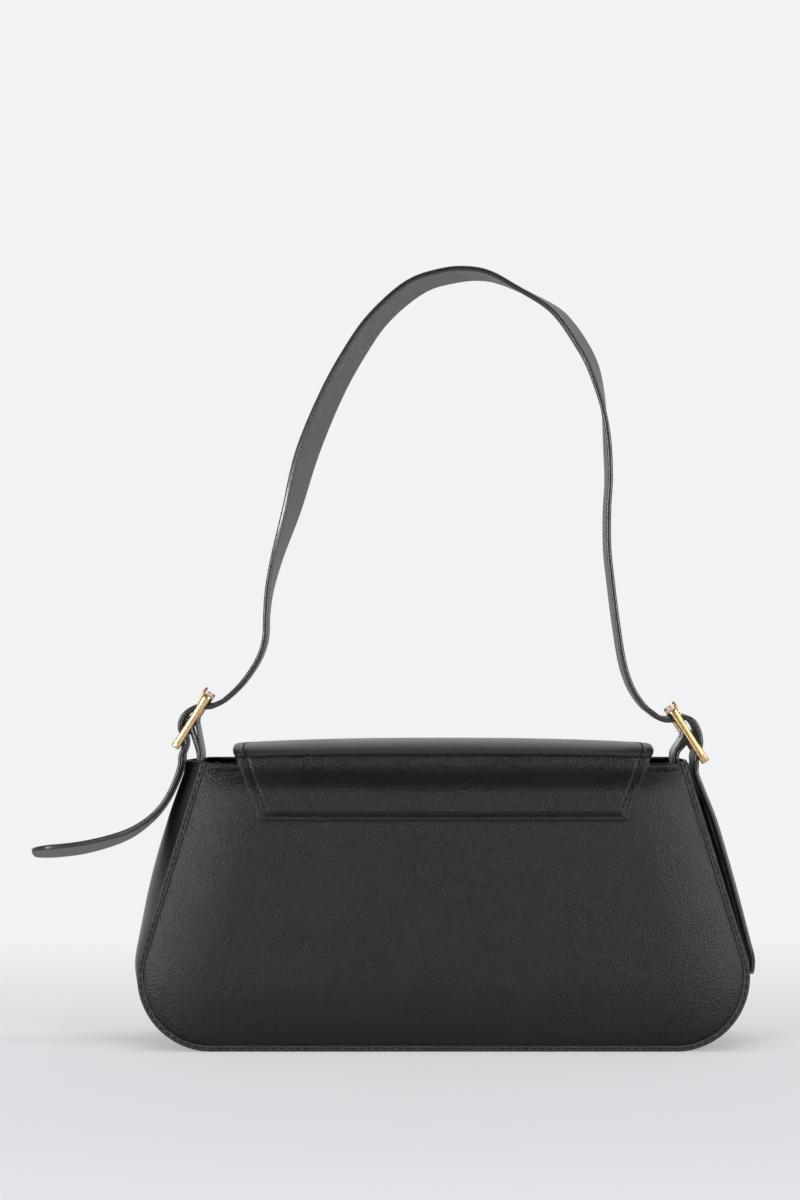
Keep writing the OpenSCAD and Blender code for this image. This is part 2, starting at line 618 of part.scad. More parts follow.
// The strap's swinging run, with its rounded ends in finer steps
round_steps = [68, 60, 48, 34, 18, 0];
function round_z(a) = swing_z - round_margin - strap_w / 2 * sin(a);
left_round = [for (a = round_steps) place_at(round_z(a), left_end - 3, left_end + 2)];
right_round = [for (i = [len(round_steps) - 1:-1:0])
    place_at(round_z(round_steps[i]), right_end - 1, right_end + 3)];
swing_places = concat(left_round, places(left_round[5] + 0.4, right_round[0] - 0.4), right_round);
stay_z = swing_z - strap_w / 2 - 2 * free_gap;
module strap_layer(n0, n1) {
    difference() {
        strap_run(swing_places, n0, n1, true);
        prong_space(false);
        prong_space(true);
    }
}
module strap() { color([0.16, 0.16, 0.16]) strap_layer(0, strap_t / 2); }
module strap_backing() { color([0.32, 0.32, 0.33]) strap_layer(-strap_t / 2, 0); }
module left_strap_end() {
    color([0.16, 0.16, 0.16]) difference() {
        strap_run(places(0, place_at(stay_z, 0, left_end)), -strap_t / 2, strap_t / 2, false);
        for (k = left_holes) punch(k);
    }
}
module right_strap_end() {
    color([0.16, 0.16, 0.16]) difference() {
        strap_run(places(place_at(stay_z, right_end, route_last), route_last),
                  -strap_t / 2, strap_t / 2, false);
        for (k = right_holes) punch(k);
    }
}

// Each tab is a strip of leather looped over the centre bar, its two legs inside the gusset
leg_gap = 0.4;
function tab_face(z, right) = gusset_x(z, right, tab_w / 2 / (half_depth(z) - gusset_edge))
    - leather_t - lining_t - 4 * free_gap;
module swinging_tab() {
    intersection() {
        children();
        union() {
            translate([-far, -tab_w, swing_z]) cube([2 * far, 2 * tab_w, far]);
            translate([0, 0, swing_z]) rotate([0, 90, 0]) cylinder(d = tab_w, h = 2 * far, center = true);
        }
    }
}
function arc(x, z, r, a0, a1) = [for (i = [0:12]) let (a = mix(a0, a1, i / 12))
    [x + r * cos(a), z + r * sin(a)]];
// One side of a leg: down from the loop, across to the knee, and down into the bag
function leg_side(x0, turn, x1, knee, low) = [[x0, turn], [x1, knee], [x1, low]];
module tab(right) {
    c = right ? right_centre : left_centre;
    low = swing_z - tab_w / 2 - 1;
    face = tab_face(rim_z, right);
    legs = 2 * tab_t + leg_gap;
    knee = rim_z + 3.5;
    turn = c[1] - 1.5;
    bx = abs(c[0]);
    inner_r = loop_r - tab_t;
    color([0.15, 0.15, 0.15]) mirror([right ? 0 : 1, 0, 0]) difference() {
        swinging_tab() rotate([90, 0, 0]) linear_extrude(tab_w, center = true) polygon(concat(
            arc(bx, c[1], loop_r, 0, 180),
            leg_side(bx - loop_r, turn, face - legs, knee, low),
            reverse(leg_side(bx - inner_r, turn, face - legs + tab_t, knee, low)),
            arc(bx, c[1], inner_r, 180, 0),
            leg_side(bx + inner_r, turn, face - tab_t, knee, low),
            reverse(leg_side(bx + loop_r, turn, face, knee, low))));
        translate([bx - far / 2, -prong_w / 2 - free_gap, c[1] - loop_r - free_gap])
            cube([far, prong_w + 2 * free_gap, far]);
    }
}
module tab_base(right) {
    high = swing_z - tab_w / 2 - free_gap;
    low = rim_z - tab_depth;
    t = 2 * tab_t + leg_gap;
    color([0.15, 0.15, 0.15]) mirror([right ? 0 : 1, 0, 0]) rotate([90, 0, 0])
        linear_extrude(tab_w, center = true)
        polygon([[tab_face(high, right), high], [tab_face(low, right), low],
                 [tab_face(low, right) - t, low], [tab_face(high, right) - t, high]]);
}
module left_tab() { tab(false); }
module right_tab() { tab(true); }
module left_tab_base() { tab_base(false); }
module right_tab_base() { tab_base(true); }
module left_buckle_frame() { buckle_frame(false); }
module right_buckle_frame() { buckle_frame(true); }
module left_buckle_bar() { buckle_bar(false); }
module right_buckle_bar() { buckle_bar(true); }
module left_prong() { prong(false); }
module right_prong() { prong(true); }

back_panel();
front_panel();
gusset();
back_binding();
front_binding();
back_board();
front_board();
base_board();
back_facing();
front_facing();
back_lining();
front_lining();
gusset_lining();
inner_pocket();
flap_back();
flap_top();
flap_top_lining();
flap_front();
flap_board();
flap_front_lining();
snap_plate();
snap_plate_washer();
snap_magnet();
snap_magnet_washer();
strap();
strap_backing();
left_strap_end();
right_strap_end();
left_tab();
right_tab();
left_tab_base();
right_tab_base();
left_buckle_frame();
right_buckle_frame();
left_buckle_bar();
right_buckle_bar();
left_prong();
right_prong();
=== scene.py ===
import math

import bmesh
import bpy
import numpy as np
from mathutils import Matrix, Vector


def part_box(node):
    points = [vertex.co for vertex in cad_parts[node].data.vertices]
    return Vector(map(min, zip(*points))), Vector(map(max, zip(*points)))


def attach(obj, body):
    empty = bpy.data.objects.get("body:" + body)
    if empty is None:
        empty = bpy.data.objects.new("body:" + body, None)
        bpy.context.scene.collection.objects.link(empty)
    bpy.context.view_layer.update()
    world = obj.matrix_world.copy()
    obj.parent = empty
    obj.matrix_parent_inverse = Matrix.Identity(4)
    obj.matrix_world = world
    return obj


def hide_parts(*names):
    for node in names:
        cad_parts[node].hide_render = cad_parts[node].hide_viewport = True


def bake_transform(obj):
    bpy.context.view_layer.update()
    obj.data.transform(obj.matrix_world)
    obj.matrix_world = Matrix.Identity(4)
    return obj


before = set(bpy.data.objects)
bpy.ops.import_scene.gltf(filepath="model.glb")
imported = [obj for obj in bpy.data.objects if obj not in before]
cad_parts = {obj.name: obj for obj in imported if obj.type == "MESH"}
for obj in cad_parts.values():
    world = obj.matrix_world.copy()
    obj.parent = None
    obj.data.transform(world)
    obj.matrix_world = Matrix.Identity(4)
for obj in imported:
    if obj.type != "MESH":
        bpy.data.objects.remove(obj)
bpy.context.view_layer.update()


# The picture's view: a long lens, level and square to the back of the bag, which is centred
# a little right of the picture's middle.
eye = (-0.020, -1.331, 0.207)
lens_mm = 85
film_mm = 36

camera = bpy.data.objects.new("camera", bpy.data.cameras.new("camera"))
camera.location = eye
camera.rotation_euler = (math.radians(90), 0, 0)
camera.data.lens = lens_mm
camera.data.sensor_width = film_mm
camera.data.clip_start = 0.05
bpy.context.collection.objects.link(camera)
bpy.context.scene.camera = camera
bpy.context.scene.view_settings.view_transform = "Standard"


# Soft studio light: a low lamp on each side of the camera, whose reflections draw the swell of
# the leather near its seams, and a wide one above. The pale room is darker behind the camera.
def softbox(name, place, aim, size, power):
    lamp = bpy.data.objects.new(name, bpy.data.lights.new(name, "AREA"))
    lamp.data.shape = "RECTANGLE"
    lamp.data.size, lamp.data.size_y = size
    lamp.data.energy = power
    lamp.location = place
    turn = np.array(aim) - np.array(place)
    lamp.rotation_euler = (math.acos(-turn[2] / np.linalg.norm(turn)), 0,
                           math.atan2(turn[1], turn[0]) - math.pi / 2)
    bpy.context.collection.objects.link(lamp)


softbox("softbox_left", (-0.9, -1.45, 0.33), (0, 0, 0.1), (0.35, 0.6), 17)
softbox("softbox_right", (0.9, -1.45, 0.33), (0, 0, 0.1), (0.35, 0.6), 15)
softbox("softbox_top", (0, -0.1, 1.9), (0, 0, 0.1), (1.6, 0.5), 7)

room_light = 0.46
pale = 0.9
dark_side = 0.05
world = bpy.data.worlds.new("room")
world.use_nodes = True
bpy.context.scene.world = world
tree = world.node_tree
sky = tree.nodes["Background"]
sky.inputs["Color"].default_value = (0.93, 0.935, 0.96, 1)


def room(kind, put, out=0, **settings):
    """Adds a node to the room's own light and gives back one of its outputs."""
    made = tree.nodes.new(kind)
    for key, value in settings.items():
        setattr(made, key, value)
    for key, value in put.items():
        if isinstance(value, bpy.types.NodeSocket):
            tree.links.new(value, made.inputs[key])
        else:
            made.inputs[key].default_value = value
    return made.outputs[out]


rays = tree.nodes.new("ShaderNodeLightPath").outputs
direction = tree.nodes.new("ShaderNodeTexCoord").outputs["Generated"]
facing = room("ShaderNodeSeparateXYZ", {0: direction}, 1)
mirrored = room("ShaderNodeMapRange", {0: facing, 1: -0.85, 2: 0.1, 3: dark_side, 4: pale},
                interpolation_type="SMOOTHSTEP")
shown = room("ShaderNodeMath", {0: rays["Is Glossy Ray"], 1: rays["Is Transmission Ray"]},
             operation="MAXIMUM")
strength = room("ShaderNodeMapRange", {0: shown, 3: room_light, 4: mirrored})
seen_strength = room("ShaderNodeMapRange", {0: rays["Is Camera Ray"], 3: strength, 4: pale})
tree.links.new(seen_strength, sky.inputs["Strength"])


# The table and backdrop are one pale paper sweep, which curves up behind the bag and keeps
# its soft shadow.
class Wire:
    """A node's output that takes part in sums, so that a finish reads as a formula."""

    def __init__(self, finish, socket):
        self.finish, self.socket = finish, socket

    def math(self, operation, a, b):
        return self.finish.node("ShaderNodeMath", put={0: a, 1: b}, operation=operation)

    def __add__(self, other):
        return self.math("ADD", self, other)

    def __radd__(self, other):
        return self.math("ADD", other, self)

    def __mul__(self, other):
        return self.math("MULTIPLY", self, other)

    def __rmul__(self, other):
        return self.math("MULTIPLY", other, self)


class Finish:
    """A material being put together. node() adds any node and gives back one of its outputs."""

    def __init__(self, name):
        self.material = bpy.data.materials.new(name)
        self.material.use_nodes = True
        self.tree = self.material.node_tree
        self.tree.nodes.clear()

    def node(self, kind, out=0, put=None, **settings):
        made = self.tree.nodes.new(kind)
        for key, value in settings.items():
            setattr(made, key, value)
        for key, value in (put or {}).items():
            if isinstance(value, Wire):
                self.tree.links.new(value.socket, made.inputs[key])
            else:
                made.inputs[key].default_value = value
        return Wire(self, made.outputs[out])

    def noise(self, size, detail=2.0, where=None):
        """Soft noise with features of about that size, in metres."""
        where = where or self.node("ShaderNodeTexCoord", "Object")
        return self.node("ShaderNodeTexNoise", put={"Vector": where, "Scale": 1 / size, "Detail": detail})

    def blend(self, fac, a, b):
        """A colour between two others."""
        return self.node("ShaderNodeMix", 2, data_type="RGBA", put={0: fac, 6: (*a, 1), 7: (*b, 1)})

    def bumps(self, height, depth, strength=1.0):
        return self.node("ShaderNodeBump", put={"Height": height, "Distance": depth, "Strength": strength})

    def surface(self, **put):
        """Ends the material with the main shader. Names with _ stand for its inputs' names."""
        names = {key.replace("_", " "): value for key, value in put.items()}
        shader = self.node("ShaderNodeBsdfPrincipled", put=names)
        last = self.tree.nodes.new("ShaderNodeOutputMaterial")
        self.tree.links.new(shader.socket, last.inputs["Surface"])
        return self.material


paper = Finish("paper")
grey = paper.noise(0.35, 1.0)
rays = paper.tree.nodes.new("ShaderNodeLightPath").outputs
by_eye, by_gloss, by_glass = (Wire(paper, rays[f"Is {kind} Ray"])
                              for kind in ("Camera", "Glossy", "Transmission"))
seen = paper.node("ShaderNodeMath", put={0: by_eye + by_gloss + by_glass, 1: 0.0}, operation="ADD",
                  use_clamp=True)
place = paper.node("ShaderNodeNewGeometry")
glow_from, glow_full = -0.25, 0.4
rear = paper.node("ShaderNodeMapRange", put={0: paper.node("ShaderNodeSeparateXYZ", 1, put={0: place}),
                                             1: glow_from, 2: glow_full})
matt = paper.node("ShaderNodeBsdfPrincipled", put={
    "Base Color": paper.blend(grey, (0.84, 0.84, 0.865), (0.86, 0.86, 0.88)), "Roughness": 0.9,
    "Specular IOR Level": 0.1})
glow = paper.node("ShaderNodeEmission", put={"Color": (0.885, 0.89, 0.905, 1)})
both = paper.node("ShaderNodeMixShader", put={0: seen * rear, 1: matt, 2: glow})
last = paper.tree.nodes.new("ShaderNodeOutputMaterial")
paper.tree.links.new(both.socket, last.inputs["Surface"])

sweep_half, sweep_front, sweep_back, sweep_bend, sweep_top = 5.0, -4.0, 1.6, 1.2, 4.5
turn = np.radians(np.linspace(0, 90, 25))
line = [(sweep_front, 0.0),
        *zip(sweep_back + sweep_bend * np.sin(turn), sweep_bend * (1 - np.cos(turn))),
        (sweep_back + sweep_bend, sweep_top)]
mesh = bpy.data.meshes.new("paper_sweep")
mesh.from_pydata([(side * sweep_half, y, z) for y, z in line for side in (-1, 1)], [],
                 [(2 * i, 2 * i + 1, 2 * i + 3, 2 * i + 2) for i in range(len(line) - 1)])
mesh.shade_smooth()
mesh.materials.append(paper.material)
sweep = bpy.data.objects.new("paper_sweep", mesh)
bpy.context.collection.objects.link(sweep)


# The two panels are smooth black leather over board, sewn into bindings along the sides and
# base. They swell softly out of the seam and lie flat along the stitched rim.
MM = 0.001
seam_w, top_w, corner_r, lip_w = 275 * MM, 218 * MM, 31 * MM, 3.2 * MM
base_d, top_d = 65 * MM, 50 * MM
leather_t = 1.2 * MM
rim_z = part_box("back_panel")[1][2]
shoulder_h, shoulder_r, dome_h = 3.2 * MM, 30 * MM, 0.8 * MM
hem_h, hem_rise, hem_sewn = 4.6 * MM, 0.55 * MM, 3 * MM
snap_z = sum(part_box("snap_magnet")[i][2] for i in (0, 1)) / 2
dimple_r = 22 * MM
front_share = 0.64

lean = math.atan((base_d - top_d) / 2 / rim_z)
corner = np.array([seam_w / 2 - corner_r, lip_w + corner_r])
rim_end = np.array([top_w / 2, rim_z])
to_rim = rim_end - corner
side_a = math.atan2(to_rim[1], to_rim[0]) - math.acos(corner_r / np.linalg.norm(to_rim))
side_start = corner + corner_r * np.array([math.cos(side_a), math.sin(side_a)])


def smooth(k):
    k = np.clip(k, 0, 1)
    return k * k * (3 - 2 * k)


def seam_half(z):
    """Half the width between the side seams at a height."""
    k = (z - side_start[1]) / (rim_end[1] - side_start[1])
    arc = corner[0] + np.sqrt(np.clip(corner_r ** 2 - (z - corner[1]) ** 2, 0, None))
    return np.where(z >= side_start[1], side_start[0] + (rim_end[0] - side_start[0]) * k, arc)


def seam_inset(x, z):
    """How far inside the seam a point of the wall is."""
    px, pz = np.abs(x) - corner[0], z - corner[1]
    side = corner_r - px * math.cos(side_a) - pz * math.sin(side_a)
    at_corner = (px > 0) & (np.arctan2(pz, px) < side_a)
    return np.where(at_corner, corner_r - np.hypot(px, pz), np.minimum(side, z - lip_w))


def on_wall(side, x, z, out):
    """Points of the front (side 1) or back (side -1) wall, standing out from its face."""
    x, z, out = np.broadcast_arrays(x, z, out)
    y = base_d / 2 - z * math.tan(lean) + out * math.cos(lean)
    return np.stack([x, side * y, z + out * math.sin(lean)], -1)


def panel_rise(side, x, z, hemmed=True):
    """How far the leather swells out of the panel's plane, with its sewn hem or without."""
    inset = np.clip(seam_inset(x, z) / shoulder_r, 0, 1)
    dome = dome_h * (1 - (x / seam_half(z)) ** 2) * np.sin(np.pi * np.clip(z / rim_z, 0, 1))
    ripple = 0.12 * MM * np.sin(x / 0.019 + 1.3) * np.sin(z / 0.027 + x / 0.05)
    bend = 1 - (1 - inset) ** 2
    rise = shoulder_h * (0.25 * np.sqrt(bend) + 0.75 * bend) + (dome + ripple) * smooth(inset)
    rise = rise * smooth((rim_z - z) / (14 * MM))
    if side > 0:
        rise = front_share * rise * smooth(np.hypot(x, z - snap_z) / dimple_r)
    if not hemmed:
        return rise
    groove = 0.45 * MM * np.exp(-((z - rim_z + hem_sewn) / (0.7 * MM)) ** 2)
    top = 0.25 * MM * (1 - smooth((rim_z - z) / (1.1 * MM)))
    return rise + (hem_rise * smooth((z - rim_z + hem_h) / (0.7 * MM)) - groove - top) * smooth(inset * 4)


def slab(outer, inner, edge=0):
    """A sheet between two grids of points, closed round its edges, which may have another finish."""
    rows, cols = outer.shape[:2]
    at = np.arange(rows * cols).reshape(rows, cols)
    skin = np.stack([at[:-1, :-1], at[:-1, 1:], at[1:, 1:], at[1:, :-1]], -1).reshape(-1, 4)
    rim = np.concatenate([at[0], at[1:, -1], at[-1, -2::-1], at[-2:0:-1, 0]])
    wall = np.stack([rim, np.roll(rim, -1), np.roll(rim, -1) + rows * cols, rim + rows * cols], -1)
    points = np.concatenate([outer.reshape(-1, 3), inner.reshape(-1, 3)])
    paint = [0] * (2 * len(skin)) + [edge] * len(wall)
    return points, np.concatenate([skin, skin[:, ::-1] + rows * cols, wall]).tolist(), paint


def tube(rings, paint=0, closed=False):
    """A skin over closed rings of points, capped at its ends."""
    rings = np.asarray(rings)
    rows, cols = rings.shape[:2]
    at = np.arange(rows * cols).reshape(rows, cols)
    ahead = np.roll(at, -1, axis=0) if closed else at[1:]
    here = at if closed else at[:-1]
    skin = np.stack([here, np.roll(here, -1, axis=1), np.roll(ahead, -1, axis=1), ahead], -1)
    faces = skin.reshape(-1, 4).tolist()
    if not closed:
        faces += [at[0, ::-1].tolist(), at[-1].tolist()]
    if np.ndim(paint):
        paint = list(paint) * (rows if closed else rows - 1) + ([] if closed else [paint[0]] * 2)
    return rings.reshape(-1, 3), faces, paint


def piece(name, parts, finishes, body=None, nodes=(), bevel=0.0, sharp=45, cut=None, blend=None):
    """Makes one object of its parts, parents it to its body's empty unless it is blended (then its place is
    baked into the mesh), and hides the CAD nodes it stands for.
    """
    points, faces, paints = [], [], []
    for part_points, part_faces, paint in parts:
        start = sum(len(p) for p in points)
        points.append(part_points)
        faces += [[i + start for i in face] for face in part_faces]
        paints += paint if isinstance(paint, list) else [paint] * len(part_faces)
    mesh = bpy.data.meshes.new(name)
    mesh.from_pydata(np.concatenate(points).tolist(), [], faces)
    for finish in finishes:
        mesh.materials.append(finish)
    mesh.polygons.foreach_set("material_index", paints)
    work = bmesh.new()
    work.from_mesh(mesh)
    bmesh.ops.remove_doubles(work, verts=work.verts, dist=1e-6)
    bmesh.ops.recalc_face_normals(work, faces=work.faces)
    work.to_mesh(mesh)
    work.free()
    mesh.shade_smooth()
    made = bpy.data.objects.new(name, mesh)
    bpy.context.collection.objects.link(made)
    if cut is not None:
        knife = made.modifiers.new("cut", "BOOLEAN")
        knife.operation, knife.solver, knife.object = "DIFFERENCE", "MANIFOLD", cut
    if bevel:
        edge = made.modifiers.new("edge", "BEVEL")
        edge.width, edge.segments, edge.angle_limit = bevel, 3, math.radians(50)
        edge.harden_normals = True
    if cut is not None or bevel:
        done = bpy.context.evaluated_depsgraph_get()
        made.data = bpy.data.meshes.new_from_object(made.evaluated_get(done))
        made.modifiers.clear()
    made.data.set_sharp_from_angle(angle=math.radians(sharp))
    if blend:
        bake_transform(made)
    elif body:
        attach(made, body)
    if nodes:
        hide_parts(*nodes)
    return made


def leather(name, colour, rough=0.29, grain=0.75 * MM, depth=0.22 * MM, shine=0.25):
    """Fine-grained coated leather: a pebbled grain, faint pores and soft patches of wear."""
    hide = Finish(name)
    pebble = hide.node("ShaderNodeTexVoronoi", 0, feature="SMOOTH_F1",
                       put={"Vector": hide.node("ShaderNodeTexCoord", "Object"), "Scale": 1 / grain,
                            "Smoothness": 0.6})
    pores = hide.noise(grain * 0.45, 3.0)
    patches = hide.noise(28 * MM, 3.0)
    tone = 0.5 * patches + 0.35 * pores + 0.15 * pebble
    pale = tuple(min(1, c * 2) for c in colour)
    return hide.surface(Base_Color=hide.blend(tone, tuple(c * 0.3 for c in colour), pale),
                        Roughness=rough - 0.1 + 0.12 * patches + 0.1 * pores,
                        Specular_IOR_Level=shine, Coat_Weight=0.03, Coat_Roughness=0.28,
                        Normal=hide.bumps(0.7 * pebble + 0.5 * pores, depth))


black_leather = leather("black_leather", (0.0014, 0.0014, 0.0015))

low_rows = corner[1] - (corner_r + 0.5 * MM) * np.cos(np.radians(np.linspace(0, 84, 15)))
panel_z = np.concatenate([low_rows, np.linspace(low_rows[-1], rim_z - 6 * MM, 34)[1:],
                          np.linspace(rim_z - 6 * MM, rim_z, 25)[1:]])
panel_u = np.sin(np.radians(np.linspace(-90, 90, 81)))
for side, name in ((-1, "back"), (1, "front")):
    edge = seam_half(np.maximum(panel_z, lip_w)) + 0.5 * MM
    x, z = panel_u[None, :] * edge[:, None], panel_z[:, None] * np.ones_like(panel_u)
    face = on_wall(side, x, z, panel_rise(side, x, np.maximum(z, lip_w)))
    piece(f"{name}_panel_leather", [slab(face, on_wall(side, x, z, -leather_t + 0.05 * MM))],
          [black_leather], "bag", [f"{name}_panel"], bevel=0.35 * MM)


# The gusset is one strip of the same leather, bellied out at the sides and flat underneath,
# with a turned hem at the rim. Its flanges run into the bindings.
bulge_most = {-1: 11.5 * MM, 1: 7.3 * MM}
rim_sag = {-1: 1.0 * MM, 1: 2.4 * MM}
gusset_edge = leather_t + 0.85 * MM
flange_w = 2 * MM
side_n, arc_n, base_n = 44, 26, 16


def seam_stations():
    """The seam from the left rim round to the right one: x, z and its outward direction."""
    a = np.radians(-90) + (side_a + np.radians(90)) * np.linspace(0, 1, arc_n)
    out = np.stack([np.where(a < 0, np.cos(a), 1), np.where(a < 0, np.sin(a), 0)], -1)
    arc = np.hstack([corner + corner_r * np.stack([np.cos(a), np.sin(a)], -1), out])
    k = np.linspace(0, 1, side_n)[1:, None]
    sides = np.hstack([side_start + (rim_end - side_start) * k, np.tile([1.0, 0.0], (side_n - 1, 1))])
    right = np.vstack([arc, sides])
    left = right[::-1] * [-1, 1, -1, 1]
    base = np.linspace(-corner[0], corner[0], base_n + 2)[1:-1, None]
    return np.vstack([left, np.hstack([base, np.tile([lip_w, 0.0, -1.0], (base_n, 1))]), right])


def half_depth(z):
    return base_d / 2 - z * math.tan(lean) - leather_t / math.cos(lean)


def bulge(side, z):
    most = np.where(side < 0, bulge_most[-1], bulge_most[1])
    sag = np.where(side < 0, rim_sag[-1], rim_sag[1]) * smooth((z - rim_z + 27 * MM) / (27 * MM))
    return lip_w + (most - lip_w) * np.sin(np.pi / 2 * np.clip((z - lip_w - 17 * MM) / (75 * MM), 0, 1)) - sag


def gusset_point(station, t, depth=0.0):
    """Points of the gusset: t runs from -1 to 1 across it, depth goes in through its leather."""
    x, z, ox, oz = (station[:, i, None] for i in range(4))
    round_off = 2 + 10 * (1 - np.clip((z - lip_w - 2 * MM) / (55 * MM), 0, 1)) ** 1.5
    hem = hem_rise * smooth((z - rim_z + hem_h) / (0.8 * MM)) * smooth((1 - np.abs(t)) * 8)
    off = bulge(x, z) * (1 - np.abs(t) ** round_off) + hem - depth
    return np.stack([x + off * ox, t * (half_depth(z + off * oz) - gusset_edge), z + off * oz], -1)


stations = seam_stations()
gusset_t = np.sin(np.radians(np.linspace(-90, 90, 33)))[None, :]
skin = gusset_point(stations, gusset_t)
lining_side = gusset_point(stations, gusset_t, leather_t)
flange = []
for t in (-1, 1):
    x, z, ox, oz = stations.T
    z_out = z + flange_w * oz
    flange.append(np.stack([x + flange_w * ox, t * (half_depth(z_out) - 0.4 * MM), z_out], -1))
skin = np.concatenate([flange[0][:, None], skin, flange[1][:, None]], axis=1)
inward = np.stack([-stations[:, 2], 0 * stations[:, 0], -stations[:, 3]], -1) * leather_t * 0.8
lining_side = np.concatenate([(flange[0] + inward)[:, None], lining_side, (flange[1] + inward)[:, None]],
                             axis=1)
for grid in (skin, lining_side):
    grid[..., 2] = np.minimum(grid[..., 2], rim_z)
piece("gusset_leather", [slab(skin, lining_side)], [black_leather], "bag", ["gusset"],
      bevel=0.3 * MM)


# Each binding is a thin strip of leather folded over the raw edges of panel and gusset and
# sewn through, so it shows as a narrow rounded lip round the back and the front.
binding_t = 0.7 * MM
seam_stack = 2 * leather_t + 0.05 * MM
binding_leather = leather("binding_leather", (0.003, 0.003, 0.0033), rough=0.34, grain=0.7 * MM, shine=0.4)


def rounded(centre, across, outward, half_w, half_t, r, support=0.12):
    """Rings of a rounded rectangle about each centre, with loops that hold its flats flat."""
    quarter = np.radians([0, 30, 60, 90])
    flat = []
    for sx, sy, start in ((1, 1, 0), (-1, 1, 90), (-1, -1, 180), (1, -1, 270)):
        arc = np.radians(start) + quarter
        flat.append([(sx, sy, math.cos(a), math.sin(a)) for a in arc])
    corners = np.array(flat).reshape(-1, 4)
    half_w, half_t, r = (np.broadcast_to(v, len(centre))[:, None] for v in (half_w, half_t, r))
    w = corners[:, 0] * (half_w - r) + corners[:, 2] * r
    t = corners[:, 1] * (half_t - r) + corners[:, 3] * r
    ring = []
    for i in range(16):
        ring.append((w[:, i], t[:, i]))
        if i % 4 == 3:
            j = (i + 1) % 16
            for k in (support, 1 - support):
                ring.append((w[:, i] * (1 - k) + w[:, j] * k, t[:, i] * (1 - k) + t[:, j] * k))
    w, t = (np.stack(v, 1)[..., None] for v in zip(*ring))
    return centre[:, None] + across[:, None] * w + outward[:, None] * t


for side, name in ((-1, "back"), (1, "front")):
    x, z, ox, oz = stations.T
    middle = (lip_w + 0.1 * MM) / 2
    centre = on_wall(side, x + middle * ox, z + middle * oz, -seam_stack / 2)
    across = on_wall(side, x + lip_w * ox, z + lip_w * oz, -seam_stack / 2) - centre
    across /= np.linalg.norm(across, axis=1, keepdims=True)
    outward = np.tile([0, side * math.cos(lean), math.sin(lean)], (len(x), 1))
    rings = rounded(centre, across, outward, (lip_w - 0.1 * MM) / 2, seam_stack / 2 + binding_t, 0.65 * MM)
    rings[..., 2] = np.minimum(rings[..., 2], rim_z)
    piece(f"{name}_binding_strip", [tube(rings)], [binding_leather], "bag", [f"{name}_binding"])


# The flap is one piece of leather: sewn on the back panel, rolled over the mouth, hanging down
# the front. It is built in two lengths that meet on top, one for each of its folds.
flap_w, flap_taper, anchor_z, flap_end_z = 193 * MM, 0.37, 105 * MM, 62 * MM
flap_lift, flap_thick, lining_thick = 1.75 * MM, 1.35 * MM, 0.55 * MM
crown_h, crown_power = 8.7 * MM, 2.5
flap_out = 6.1 * MM
end_droop, roll_swell, crown_narrowing, back_taper = 2.0 * MM, 2.2 * MM, 19.4 * MM, 0.372
flap_corner = 1.4 * MM
flap_sewn_side, flap_sewn_end = 4.7 * MM, 3.4 * MM
hinge_z = rim_z + 1.3 * MM
hinge_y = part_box("flap_top")[0][1]
front_y = base_d / 2 - hinge_z * math.tan(lean) + flap_out / math.cos(lean)
crown_y, crown_half = (hinge_y + front_y) / 2, (front_y - hinge_y) / 2


def flap_line(s):
    """The flap's run: s goes 0-1 up the back, 1-2 over the crown, 2-3 down the front."""
    back_z = anchor_z + np.clip(s, 0, 1) * (hinge_z - 0.8 * MM - anchor_z)
    front_z = hinge_z - 0.8 * MM - np.clip(s - 2, 0, 1) * (hinge_z - 0.8 * MM - flap_end_z)
    a = np.radians(3 + 174 * np.clip(s - 1, 0, 1))
    return back_z, a, front_z


def flap_half(s):
    back_z, a, front_z = flap_line(s)
    y = crown_y - crown_half * np.sign(np.cos(a)) * np.abs(np.cos(a)) ** (2 / crown_power)
    rim_half = flap_w / 2 - 1.3 * MM
    crown = rim_half + roll_swell * smooth(a / 0.8) - crown_narrowing * smooth((y + 6 * MM) / (37 * MM))
    return np.select([s <= 1, s < 2], [rim_half - back_taper * (hinge_z - back_z), crown],
                     flap_w / 2 - flap_taper * (front_y - hinge_y + hinge_z - front_z))


def flap_sink(s, x, back_z, front_z):
    """How far the flap's face lies below its full thickness: its rounded edge and sewn groove."""
    side = flap_half(s) - np.abs(x)
    end = np.where(s < 1.5, back_z - anchor_z, front_z - flap_end_z)
    edge = np.minimum(side, end)
    side_groove = np.exp(-((side - flap_sewn_side) / (0.8 * MM)) ** 2) * (end > flap_sewn_end - 0.5 * MM)
    end_groove = np.exp(-((end - flap_sewn_end) / (0.8 * MM)) ** 2) * (side > flap_sewn_side - 0.5 * MM)
    groove = np.maximum(side_groove, end_groove)
    return 0.45 * MM * groove + 0.45 * MM * (1 - smooth(edge / (1.3 * MM)))


def flap_point(s, x, smooth_face=False):
    """Points of the flap's outer face."""
    s, x = np.broadcast_arrays(s, x)
    back_z, a, front_z = flap_line(s)
    sink = 0 * x if smooth_face else flap_sink(s, x, back_z, front_z)
    e = 2 / crown_power
    droop = end_droop * np.abs(x / flap_half(s)) ** 2.5 * np.sin(a) ** 0.5
    crown = np.stack([x, crown_y - (crown_half - sink) * np.sign(np.cos(a)) * np.abs(np.cos(a)) ** e,
                      hinge_z + (crown_h - sink) * np.sin(a) ** e - droop], -1)
    back = on_wall(-1, x, back_z, panel_rise(-1, x, back_z, False) + flap_lift - sink
                   - 0.15 * MM * smooth((back_z - hinge_z + 14 * MM) / (13 * MM)))
    front = on_wall(1, x, front_z, flap_out - sink)
    return np.where((s <= 1)[..., None], back, np.where((s < 2)[..., None], crown, front))


